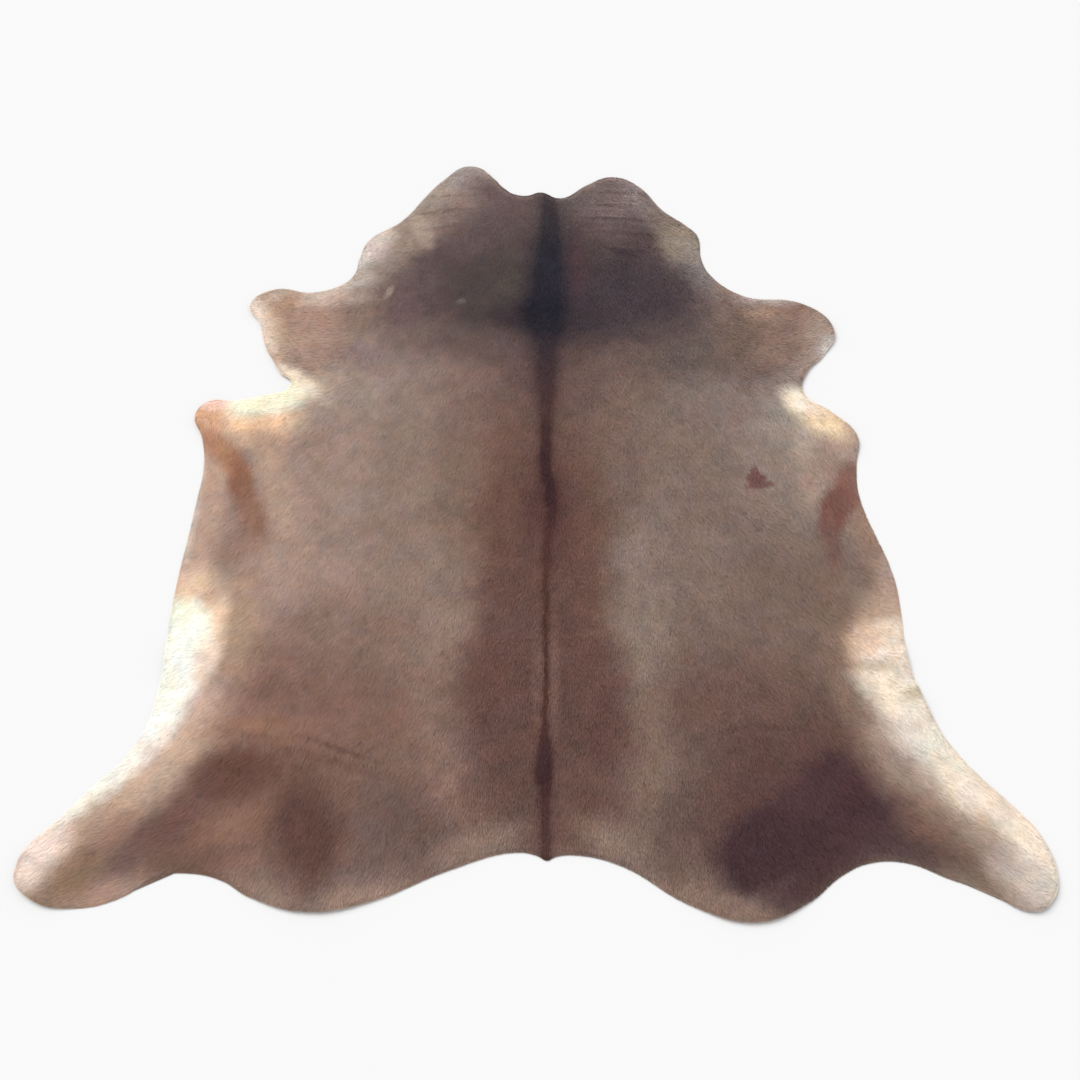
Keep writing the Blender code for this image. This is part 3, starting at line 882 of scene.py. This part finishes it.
# %% Build the leather
squares = ring_squares(len(rings), rings.shape[1])
ring_step = np.arange(len(squares)) % rings.shape[1]
is_top = ring_step < top.shape[1] - 1
flat_points = rings.reshape(-1, 3)
points, kept, faces, differs = welded(flat_points, squares)
whole = differs.sum(axis=1) > 2
faces, differs, is_top = faces[whole], differs[whole], is_top[whole]
leather = new_mesh("leather", moved(points), faces, differs)
leather.data.polygons.foreach_set("material_index", np.where(is_top, 0, 1).astype(np.int32))
give_colours(leather, coat_colour(points[:, 0], points[:, 1]))

shape = bmesh.new()
shape.from_mesh(leather.data)
open_edges = sum(not e.is_manifold for e in shape.edges)
signed = shape.calc_volume(signed=True)
area = sum(f.calc_area() for f in shape.faces if f.material_index == 0)
shape.free()
triangles = int((differs.sum(axis=1) - 2).sum())
print("leather:", triangles, "triangles,", open_edges, "open edges,", round(signed * 1000, 2), "litres")
print("hair side in square metres:", round(area, 3))

# %% [markdown]
# ## Which way the hair grows
#
# A cow's hair runs from the head to the tail, fans out over the ribs, and turns down each leg. It could be
# combed by hand with Blender's brushes. A rule is easier to repeat: one formula for the whole body, and a few
# combings, which are soft ovals again, each with its own heading.

# %% Growth of the hair
# heading is that of the oval's own length, and runs_to that of the hair in it.
Combing = namedtuple("Combing", "name x y heading half_length half_width runs_to strength")

COMBINGS = table(
    Combing,
    ("left lobe", -250, 1020, 80, 160, 140, 232, 0.8),
    ("right lobe", 220, 1000, 100, 160, 140, 308, 0.8),
    ("left cheek", -470, 760, 70, 160, 100, 215, 0.9),
    ("right cheek", 420, 780, 110, 160, 100, 325, 0.9),
    ("left fore leg", -720, 470, 80, 200, 200, 188, 1.0),
    ("right fore leg", 700, 460, 100, 200, 200, -10, 1.0),
    ("left armpit", -700, 240, 10, 180, 70, 200, 0.8),
    ("right armpit", 690, 220, -30, 150, 70, -25, 0.8),
    ("left elbow", -840, 80, 100, 140, 90, 262, 0.7),
    ("right elbow", 780, 40, 80, 140, 90, 278, 0.7),
    ("left flank", -820, -520, 80, 200, 120, 212, 0.8),
    ("right flank", 790, -540, 100, 200, 120, 328, 0.8),
    ("left hind leg", -920, -930, 52, 340, 160, 226, 1.0),
    ("right hind leg", 910, -920, 128, 340, 160, 314, 1.0),
    ("left buttock", -460, -1020, 0, 220, 100, 258, 0.6),
    ("right buttock", 420, -1040, 0, 220, 100, 282, 0.6),
)
FAN_OUT = 0.75  # how much the hair of the ribs turns out, for each metre from the backbone
COMB_REACH = 1.5  # a combing fades to nothing this far out, where 1 is its oval's rim
SWAY = table(Layer, (math.radians(13), 0.07, 11), (math.radians(9), 0.022, 12))


def growth(x, y):
    """Unit steps along the hair. The body's rule is FAN_OUT times x to the side and one back towards the
    tail, each combing turns it towards its own heading, and noise sways it a little."""
    step = unit(np.stack([FAN_OUT * x, -np.ones_like(x)], axis=1))
    for comb in COMBINGS:
        share = comb.strength * smooth_fade(COMB_REACH - oval(x, y, comb))
        turn = math.radians(comb.runs_to)
        step = lay_on(step, np.array([math.cos(turn), math.sin(turn)]), share)
    return turned(unit(step), layered(x, y, SWAY))


def turned(steps, angle):
    """Steps turned by an angle each, in radians."""
    c, s = np.cos(angle), np.sin(angle)
    return np.stack([steps[:, 0] * c - steps[:, 1] * s, steps[:, 0] * s + steps[:, 1] * c], axis=1)


for name, x, y in (("withers", 0.0, 0.5), ("left ribs", -0.6, -0.1), ("right hind leg", 0.9, -0.9)):
    step = growth(np.array([x]), np.array([y]))[0]
    print(name, "hair runs to", round(math.degrees(math.atan2(step[1], step[0]))), "degrees")

# %% [markdown]
# ## The coat
#
# Short hair dries in small pointed tufts. Each tuft here is a leaf of two triangles: it starts in the skin,
# is widest at two fifths of its length, and ends in a tip a few millimetres up. Its middle line stands
# above its two sides, so light rolls over it as over a rounded tuft. There are about four hundred thousand,
# all worked out together as arrays. Two rows of finer tufts along the edge hide the knife's cut.

# %% Tuft helpers
Tufts = namedtuple("Tufts", "x y step length width")

TUFT_SPACING = 0.00282
TUFT_LENGTH, LENGTH_SHARES = 0.0165, (0.7, 1.2)  # metres, and the least and greatest share of them
TUFT_WIDTH, WIDTH_SHARES = 0.0024, (0.7, 1.25)
TUFT_STRAYS = math.radians(8)
FIRST_ROOTS = 0.0005  # the outermost roots stand this far inside the knife's cut

EDGE_ROWS = (0.0038, 0.0058)  # metres inside the tips of the fringe
EDGE_SPACING, EDGE_SCATTER = 0.0016, 0.0006
EDGE_LENGTHS, EDGE_WIDTHS = (0.006, 0.0095), (0.0012, 0.0019)
EDGE_STRAYS = math.radians(14)
OWN_WAY = 0.75  # parts of the hair's own way in an edge tuft's heading, to one part straight out
HANG_OVER = 0.0008  # how far past the outline a tuft's tip may reach
SHORTEST = 0.25  # a tuft keeps at least this share of its length

# Heights in a leaf, as shares of the hair's depth: its root, its tip, how far its sides lie under the line
# from root to tip, and how far it rolls.
WIDEST_AT = 0.4
ROOT_SHARE, TIP_SHARES, SIDE_DROPS, ROLL = -0.1, (0.62, 1.0), (0.05, 0.16), 0.13
DROOP = 0.6  # the share of its height that a tip loses, wholly past the leather's edge
chance = np.random.default_rng(seed=2024)


def body_tufts():
    """Tufts all over: one in each square of a net, moved at random inside it, and none outside the cut."""
    low, high = edge.min(axis=0), edge.max(axis=0)
    x, y = np.meshgrid(*(np.arange(low[i], high[i], TUFT_SPACING) for i in (0, 1)))
    x = x.ravel() + chance.uniform(-0.5, 0.5, x.size) * TUFT_SPACING
    y = y.ravel() + chance.uniform(-0.5, 0.5, y.size) * TUFT_SPACING
    keep = from_edge(x, y) > CUT_BACK + FIRST_ROOTS
    x, y = x[keep], y[keep]
    step = turned(growth(x, y), chance.normal(0.0, TUFT_STRAYS, len(x)))
    length = TUFT_LENGTH * chance.uniform(*LENGTH_SHARES, len(x))
    width = TUFT_WIDTH * chance.uniform(*WIDTH_SHARES, len(x))
    return Tufts(x, y, step, length, width)


def edge_tufts():
    """Rows of finer tufts along the edge, each between the hair's own way and straight out."""
    length = np.linalg.norm(np.roll(edge, -1, axis=0) - edge, axis=1).sum()
    count = int(length / EDGE_SPACING)
    x, y, step = [], [], []
    for inset in EDGE_ROWS:
        number = (np.arange(count) + chance.uniform(-0.5, 0.5, count)) * len(OUTLINE) / count
        point, out = edge_at(number)
        point = point - (inset + chance.uniform(-EDGE_SCATTER, EDGE_SCATTER, (count, 1))) * out
        x.append(point[:, 0])
        y.append(point[:, 1])
        step.append(unit(OWN_WAY * growth(point[:, 0], point[:, 1]) + out))
    x, y, step = np.concatenate(x), np.concatenate(y), np.concatenate(step)
    step = turned(step, chance.normal(0.0, EDGE_STRAYS, len(x)))
    return Tufts(x, y, step, chance.uniform(*EDGE_LENGTHS, len(x)), chance.uniform(*EDGE_WIDTHS, len(x)))


def kept_short(tufts):
    """Tufts shortened where they would reach past the outline by more than HANG_OVER."""
    tip_x = tufts.x + tufts.step[:, 0] * tufts.length
    tip_y = tufts.y + tufts.step[:, 1] * tufts.length
    root, tip = from_edge(tufts.x, tufts.y), from_edge(tip_x, tip_y)
    over = tip < -HANG_OVER
    room = np.where(over, (root + HANG_OVER) / np.maximum(root - tip, TINY), 1.0)
    return tufts._replace(length=tufts.length * np.clip(room, SHORTEST, 1.0))


def hair_top(x, y, share):
    """Height of a point in the coat: the skin, and a share of the lying hair's depth. Past the edge there is
    no leather to lie on, so it droops towards the floor."""
    skin = leather_top(x, y)
    depth = thinned(x, COAT_BACK, COAT_BELLY)
    past = np.clip(-(from_edge(x, y) - CUT_BACK) / (CUT_BACK + HANG_OVER), 0.0, 1.0)
    return skin + depth * share - DROOP * past * (skin - lift(x, y) + depth * share)


def leaves(tufts):
    """Four points for each tuft: root, right side, tip and left side, with heights from hair_top and a
    random roll, which lifts one side and lowers the other."""
    count = len(tufts.x)
    side = np.stack([tufts.step[:, 1], -tufts.step[:, 0]], axis=1)
    root = np.stack([tufts.x, tufts.y], axis=1)
    middle = root + tufts.step * (tufts.length * WIDEST_AT)[:, None]
    tip = root + tufts.step * tufts.length[:, None]
    half = side * (tufts.width / 2)[:, None]
    roll = chance.normal(0.0, ROLL, count)
    tip_share = chance.uniform(*TIP_SHARES, count)
    side_share = tip_share * WIDEST_AT - chance.uniform(*SIDE_DROPS, count)
    flat = np.stack([root, middle + half, tip, middle - half], axis=1)
    share = np.stack([np.full(count, ROOT_SHARE), side_share + roll, tip_share, side_share - roll], axis=1)
    height = hair_top(flat[:, :, 0].ravel(), flat[:, :, 1].ravel(), share.ravel())
    return np.concatenate([flat, height.reshape(count, 4, 1)], axis=2)


def joined(first, second):
    """Two sets of tufts made one."""
    return Tufts(*(np.concatenate([a, b]) for a, b in zip(first, second)))


tufts = kept_short(joined(body_tufts(), edge_tufts()))
short = tufts.length < LENGTH_SHARES[0] * TUFT_LENGTH
print("tufts:", len(tufts.x), " short ones at the edge:", int(short.sum()))

# %% [markdown]
# A mesh of over two hundred thousand triangles is slow to handle, so the coat is cut across the body into
# five pieces, as a furrier names them. The tufts of one piece lie over the roots of the next, and no seam
# shows. Each piece carries its colour as an attribute, and a UV map named strand: along a tuft in v, and in u
# the tuft's own number plus the way across it.

# %% Build the coat
# A stretch runs from its front, measured as y is, back to the next one's front.
Stretch = namedtuple("Stretch", "name front")
PAST_THE_HIDE = 9000

STRETCHES = table(
    Stretch,
    ("coat_neck", PAST_THE_HIDE),
    ("coat_shoulders", 500),
    ("coat_ribs", 80),
    ("coat_loins", -300),
    ("coat_rump", -700),
    ("end", -PAST_THE_HIDE),
)
# A leaf's two triangles, and where its four points lie across and along it.
LEAF = np.array([[0, 1, 2], [0, 2, 3]])
ACROSS_LEAF = np.array([0.5, 0.9, 0.5, 0.1])
ALONG_LEAF = np.array([0.0, WIDEST_AT, 1.0, WIDEST_AT])
TUFT_NUMBERS = 64  # each tuft draws its number at random, and so many tones are enough


def coat_piece(name, tufts):
    """One stretch of the coat as a mesh of leaves, coloured by the skin under each tuft's middle."""
    count = len(tufts.x)
    points = moved(leaves(tufts)).reshape(-1, 3)
    faces = (np.arange(count)[:, None, None] * 4 + LEAF).reshape(-1, 3)
    piece = new_mesh(name, points, faces)
    reach = WIDEST_AT * tufts.step * tufts.length[:, None]
    colour = coat_colour(tufts.x + reach[:, 0], tufts.y + reach[:, 1])
    give_colours(piece, np.repeat(colour, 4, axis=0))
    corner = faces.ravel()
    u = chance.integers(0, TUFT_NUMBERS, count).repeat(4) + np.tile(ACROSS_LEAF, count)
    v = np.tile(ALONG_LEAF, count)
    low, high = points.min(axis=0), points.max(axis=0)
    plan = (points - low) / (high - low)
    give_map(piece, "strand", np.stack([u, v], axis=1)[corner])
    give_map(piece, "OFBake", plan[corner, :2])
    return piece


coat = []
for stretch, after in zip(STRETCHES, STRETCHES[1:]):
    inside = (tufts.y <= stretch.front) & (tufts.y > after.front)
    coat.append(coat_piece(stretch.name, Tufts(*(column[inside] for column in tufts))))
    print(stretch.name, "tufts:", int(inside.sum()), "triangles:", 2 * int(inside.sum()))

# %% [markdown]
# ## Materials
#
# Hair is not one colour: each tuft is a little lighter or darker than the next, dark at its root and pale at
# its tip, with streaks along it. Leather shows a fine grain, and its flesh side is a pale nap like suede. The
# effects that several finishes share are node groups, built once and placed with each finish's own numbers.

# %% Node helpers


def add(tree, kind, **settings):
    """A new node with its own properties set. Its sockets are fed afterwards."""
    node = tree.nodes.new(kind)
    for name, value in settings.items():
        setattr(node, name, value)
    return node


def feed(tree, target, source):
    """Links a socket to another, or sets its value."""
    if isinstance(source, bpy.types.NodeSocket):
        tree.links.new(source, target)
    else:
        target.default_value = source


def made(tree, kind, output, values=None, **settings):
    """One output of a new node, with its sockets fed by name or number."""
    node = add(tree, kind, **settings)
    for name, value in (values or {}).items():
        feed(tree, node.inputs[name], value)
    return node.outputs[output]


def maths(tree, operation, *values):
    """The result of a Math node."""
    return made(tree, "ShaderNodeMath", 0, dict(enumerate(values)), operation=operation)


def ramp(tree, value, low, high, from_low=0.0, from_high=1.0):
    """A value carried from one range to another."""
    values = {"Value": value, "From Min": from_low, "From Max": from_high, "To Min": low, "To Max": high}
    return made(tree, "ShaderNodeMapRange", "Result", values)


def shade(tree, value, strength, from_low=0.25, from_high=0.75):
    """One plus a strength times a value that swings both ways from the middle of its range. Cloudy noise
    keeps to the middle half of 0 to 1, so that is the range where none is given."""
    swing = ramp(tree, value, -1.0, 1.0, from_low, from_high)
    return maths(tree, "MULTIPLY_ADD", swing, strength, 1.0)


def scaled(tree, colour, by):
    """A colour made lighter or darker by a value."""
    values = {"Vector": colour, "Scale": by}
    return made(tree, "ShaderNodeVectorMath", "Vector", values, operation="SCALE")


def noise_node(tree, vector, scale, detail=3.0, roughness=0.55):
    """A noise texture's value, from 0 to 1."""
    values = {"Vector": vector, "Scale": scale, "Detail": detail, "Roughness": roughness}
    return made(tree, "ShaderNodeTexNoise", "Fac", values)


def new_group(name, inputs, outputs):
    """An empty shader node group with named inputs and outputs."""
    group = bpy.data.node_groups.new(name, "ShaderNodeTree")
    for label, kind, value in inputs:
        socket = group.interface.new_socket(name=label, in_out="INPUT", socket_type=kind)
        if value is not None:
            socket.default_value = value
    for label, kind in outputs:
        group.interface.new_socket(name=label, in_out="OUTPUT", socket_type=kind)
    return group, add(group, "NodeGroupInput").outputs, add(group, "NodeGroupOutput").inputs


def use(tree, group, **values):
    """A group placed in a tree, with its inputs set or linked. An underscore in a name stands for a space."""
    node = add(tree, "ShaderNodeGroup", node_tree=group)
    for name, value in values.items():
        feed(tree, node.inputs[name.replace("_", " ")], value)
    return node.outputs


# %% Groups that the finishes share
COLOUR, NUMBER, VECTOR = "NodeSocketColor", "NodeSocketFloat", "NodeSocketVector"
STREAK_STEPS = (9.0, 1.4, 3.7)  # how far the streaks' noise runs across a tuft, along it, and to the next


def tuft_tone_group():
    """Tone of a tuft: its own random shade, times a ramp from root to tip, times streaks along it."""
    group, given, result = new_group(
        "tuft_tone",
        [
            ("Colour", COLOUR, (0.3, 0.2, 0.16, 1.0)),
            ("Strand", VECTOR, None),
            ("Root Shade", NUMBER, 0.7),
            ("Tip Shade", NUMBER, 1.05),
            ("Variation", NUMBER, 0.1),
            ("Streaks", NUMBER, 0.1),
        ],
        [("Colour", COLOUR), ("Roughness", NUMBER), ("Height", NUMBER)],
    )
    split = add(group, "ShaderNodeSeparateXYZ")
    feed(group, split.inputs[0], given["Strand"])
    number = maths(group, "FLOOR", split.outputs["X"])
    across = maths(group, "FRACT", split.outputs["X"])
    drawn = made(group, "ShaderNodeTexWhiteNoise", "Value", {"W": number}, noise_dimensions="1D")
    own = shade(group, drawn, given["Variation"], from_low=0.0, from_high=1.0)
    along = ramp(group, split.outputs["Y"], given["Root Shade"], given["Tip Shade"])
    place = add(group, "ShaderNodeCombineXYZ")
    for socket, source, by in zip(place.inputs, (across, split.outputs["Y"], number), STREAK_STEPS):
        feed(group, socket, maths(group, "MULTIPLY", source, by))
    hair = noise_node(group, place.outputs[0], scale=1.0, detail=2.0)
    streak = shade(group, hair, given["Streaks"])
    tone = maths(group, "MULTIPLY", maths(group, "MULTIPLY", own, along), streak)
    feed(group, result["Colour"], scaled(group, given["Colour"], tone))
    feed(group, result["Roughness"], ramp(group, hair, low=0.52, high=0.74, from_low=0.2, from_high=0.8))
    feed(group, result["Height"], hair)
    return group


def fine_grain_group():
    """Grain of skin: cloudy noise plus noise ten times finer, which shades the colour and gives a height."""
    group, given, result = new_group(
        "fine_grain",
        [
            ("Colour", COLOUR, (0.5, 0.4, 0.3, 1.0)),
            ("Place", VECTOR, None),
            ("Clouds Size", NUMBER, 0.06),
            ("Grain Size", NUMBER, 0.004),
            ("Clouds Strength", NUMBER, 0.1),
            ("Grain Strength", NUMBER, 0.1),
        ],
        [("Colour", COLOUR), ("Height", NUMBER), ("Mask", NUMBER)],
    )
    clouds_scale = maths(group, "DIVIDE", 1.0, given["Clouds Size"])
    clouds = noise_node(group, given["Place"], clouds_scale, detail=4.0)
    grain_scale = maths(group, "DIVIDE", 1.0, given["Grain Size"])
    grain = noise_node(group, given["Place"], grain_scale, roughness=0.65)
    cloud_shade = shade(group, clouds, given["Clouds Strength"])
    grain_shade = shade(group, grain, given["Grain Strength"])
    both_shades = maths(group, "MULTIPLY", cloud_shade, grain_shade)
    feed(group, result["Colour"], scaled(group, given["Colour"], both_shades))
    feed(group, result["Height"], grain)
    feed(group, result["Mask"], clouds)
    return group


tuft_tone = tuft_tone_group()
fine_grain = fine_grain_group()
print("node groups:", [group.name for group in bpy.data.node_groups])

# %% [markdown]
# Three finishes use them. The hair takes its colour from the attribute of its tufts, with a low gloss, as
# clean hair has. The skin between the tufts takes the same colour, painted a shade darker as the shadow that
# the tufts cast on it. The flesh side is a warm pale suede, with no gloss and a little sheen, as of fine fibres
# seen from the side.

# %% The three finishes
# painted shade: the skin between the tufts is darkened to this share of the hair's brightness, as if the tufts
# shade it
SKIN_PAINTED_SHADE = 0.82  # the skin's share of the hair's brightness
SUEDE_COLOUR = (208, 186, 158)


def new_finish(name, roughness, specular, sheen=0.0, sheen_roughness=0.5):
    """A material with a Principled shader whose plain numbers are set on the shader itself."""
    material = bpy.data.materials.new(name)
    material.use_nodes = True
    shader = material.node_tree.nodes["Principled BSDF"]
    shader.inputs["Roughness"].default_value = roughness
    shader.inputs["Specular IOR Level"].default_value = specular
    shader.inputs["Sheen Weight"].default_value = sheen
    shader.inputs["Sheen Roughness"].default_value = sheen_roughness
    return material, material.node_tree, shader.inputs


def coat_attribute(tree):
    """The colour that every point of the coat carries."""
    return made(tree, "ShaderNodeAttribute", "Color", attribute_name="coat")


def bump(tree, height, distance, strength):
    """A normal tilted as if by a relief this many metres deep."""
    values = {"Height": height, "Distance": distance, "Strength": strength}
    return made(tree, "ShaderNodeBump", "Normal", values)


def hair_finish():
    """Hair: the coat's colour through tuft_tone, with the streaks as a slight relief."""
    material, tree, shader = new_finish("cow_hair", roughness=0.62, specular=0.15)
    strand = made(tree, "ShaderNodeUVMap", "UV", uv_map="strand")
    tone = use(tree, tuft_tone, Colour=coat_attribute(tree), Strand=strand, Root_Shade=0.84, Tip_Shade=1.05,
               Variation=0.07, Streaks=0.08)
    feed(tree, shader["Base Color"], tone["Colour"])
    feed(tree, shader["Roughness"], tone["Roughness"])
    feed(tree, shader["Normal"], bump(tree, tone["Height"], distance=0.0003, strength=0.6))
    return material


def skin_finish():
    """Skin under the hair: the coat's colour, painted darker as shade under the tufts, with a grain as of hair
    roots.
    """
    material, tree, shader = new_finish("skin_under_hair", roughness=0.75, specular=0.15)
    place = made(tree, "ShaderNodeTexCoord", "Object")
    darker = scaled(tree, coat_attribute(tree), SKIN_PAINTED_SHADE)
    grain = use(tree, fine_grain, Colour=darker, Place=place, Clouds_Size=0.05, Grain_Size=0.0022,
                Clouds_Strength=0.08, Grain_Strength=0.22)
    feed(tree, shader["Base Color"], grain["Colour"])
    feed(tree, shader["Normal"], bump(tree, grain["Height"], distance=0.001, strength=0.8))
    return material


def flesh_finish():
    """Flesh side: warm suede, clouded where the skin was thicker, with a fine nap."""
    material, tree, shader = new_finish(
        "flesh_side_suede", roughness=0.95, specular=0.10, sheen=0.25, sheen_roughness=0.4)
    place = made(tree, "ShaderNodeTexCoord", "Object")
    grain = use(tree, fine_grain, Colour=(*linear(SUEDE_COLOUR), 1.0), Place=place, Clouds_Size=0.09,
                Grain_Size=0.0030, Clouds_Strength=0.14, Grain_Strength=0.16)
    feed(tree, shader["Base Color"], grain["Colour"])
    feed(tree, shader["Roughness"], ramp(tree, grain["Mask"], low=0.86, high=0.98))
    feed(tree, shader["Normal"], bump(tree, grain["Height"], distance=0.0008, strength=0.7))
    return material


hair = hair_finish()
for piece in coat:
    piece.data.materials.append(hair)
leather.data.materials.append(skin_finish())
leather.data.materials.append(flesh_finish())
print("finishes:", [material.name for material in bpy.data.materials if material.users])

# %% [markdown]
# ## The leather's own map
#
# When the model leaves Blender, its colours are baked into a picture through a UV map. Seen from above, the
# two sides of a sheet would share one place in it, so the hair side takes the left half of the map, and the
# flesh side and the cut edge take the right half. The cut edge is a few millimetres tall, less than a pixel,
# so it is opened outwards a little, to have a place of its own.

# %% Map the leather
RIM_OPENED = 0.006  # metres, and the middle of the cut edge is moved half as far
MAP_MARGIN = 0.01  # metres round the plan view
HALF_MAP = np.array([0.49, 1.0])  # each side's share of the map's width and height
FLESH_CORNER = np.array([0.51, 0.0])  # where the flesh side's share starts


def leather_map():
    """A place in the map for each corner: the plan view in the left half for the hair side, and in the right
    half for the rest, where the top of the cut edge is moved straight out by RIM_OPENED."""
    out = np.zeros(rings.shape)
    out[:, 0, :2] = out[:, -1, :2] = outs[0]
    out[:, top.shape[1] - 1, :2] = out[:, top.shape[1], :2] = outs[1]
    out[:, -1] *= 0.5
    out[:, top.shape[1]] *= 0.5
    plan = flat_points[kept][:, :2]
    opened = plan + RIM_OPENED * out.reshape(-1, 3)[kept][:, :2]
    low, high = opened.min(axis=0) - MAP_MARGIN, opened.max(axis=0) + MAP_MARGIN
    hair_side = (plan - low) / (high - low) * HALF_MAP
    flesh_side = (opened - low) / (high - low) * HALF_MAP + FLESH_CORNER
    corners = np.where(is_top[:, None, None], hair_side[faces], flesh_side[faces])
    return corners[differs]


give_map(leather, "OFBake", leather_map())
print("map corners:", len(leather.data.loops))

# %% [markdown]
# ## The studio
#
# Flat things are shown on a plain pale floor under soft light. A lamp close by would be brighter on one side
# of a hide two metres wide, so the key light here is a sun with a very wide disc, like a soft box far off,
# and the pale sky fills the shade. The camera stands 2.3 metres up, behind the tail, and looks down at 58
# degrees.

# %% Floor, light and camera
FLOOR_SIDE = 40.0
FLOOR_GREY = 0.69
SUN_STRENGTH, SKY_STRENGTH = 2.44, 0.81
SUN_DISC, SUN_TURNED = 50, (-28, -34, 0)  # degrees
CAMERA_AT, CAMERA_TURNED = (0.0076, -1.657, 2.335), (31.8, 0, 0)  # metres, and degrees from straight down
LENS, SENSOR = 38.37, 36.0  # millimetres
SEES_TO = 100.0


def placed(name, data, at=(0.0, 0.0, 0.0), turned_by=(0, 0, 0)):
    """A light or a camera in the scene, turned by degrees about x, y and z."""
    thing = bpy.data.objects.new(name, data)
    thing.location = at
    thing.rotation_euler = [math.radians(angle) for angle in turned_by]
    bpy.context.scene.collection.objects.link(thing)
    return thing


def new_floor():
    """A square floor at the height of the hide's underside."""
    h = FLOOR_SIDE / 2
    corners = np.array([[-h, -h, 0.0], [h, -h, 0.0], [h, h, 0.0], [-h, h, 0.0]])
    floor = new_mesh("floor", corners, np.array([[0, 1, 2, 3]]))
    material, tree, shader = new_finish("floor_paint", roughness=0.9, specular=0.0)
    place = made(tree, "ShaderNodeTexCoord", "Object")
    faint_clouds = ramp(tree, noise_node(tree, place, scale=0.8), low=0.995, high=1.005)
    feed(tree, shader["Base Color"], scaled(tree, (FLOOR_GREY,) * 3, faint_clouds))
    floor.data.materials.append(material)


new_floor()

sun = bpy.data.lights.new("soft_key", "SUN")
sun.energy = SUN_STRENGTH
sun.angle = math.radians(SUN_DISC)
placed("soft_key", sun, turned_by=SUN_TURNED)

world = bpy.data.worlds.new("pale_sky")
world.use_nodes = True
sky = world.node_tree.nodes["Background"].inputs
sky["Color"].default_value = (1.0, 1.0, 1.0, 1.0)
sky["Strength"].default_value = SKY_STRENGTH
bpy.context.scene.world = world
bpy.context.scene.view_settings.view_transform = "Standard"

lens = bpy.data.cameras.new("camera")
lens.sensor_width, lens.lens, lens.clip_end = SENSOR, LENS, SEES_TO
camera = placed("camera", lens, CAMERA_AT, CAMERA_TURNED)
bpy.context.scene.camera = camera
print("camera", CAMERA_AT, "looks down at", round(90 - CAMERA_TURNED[0], 1), "degrees")

# %% [markdown]
# ## What stands for what
#
# The imported solid stays for collision, and these pieces are seen in its place. All of them ride on the one
# body of the model.

for piece in [leather, *coat]:
    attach(piece, "root")
    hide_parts("hide")
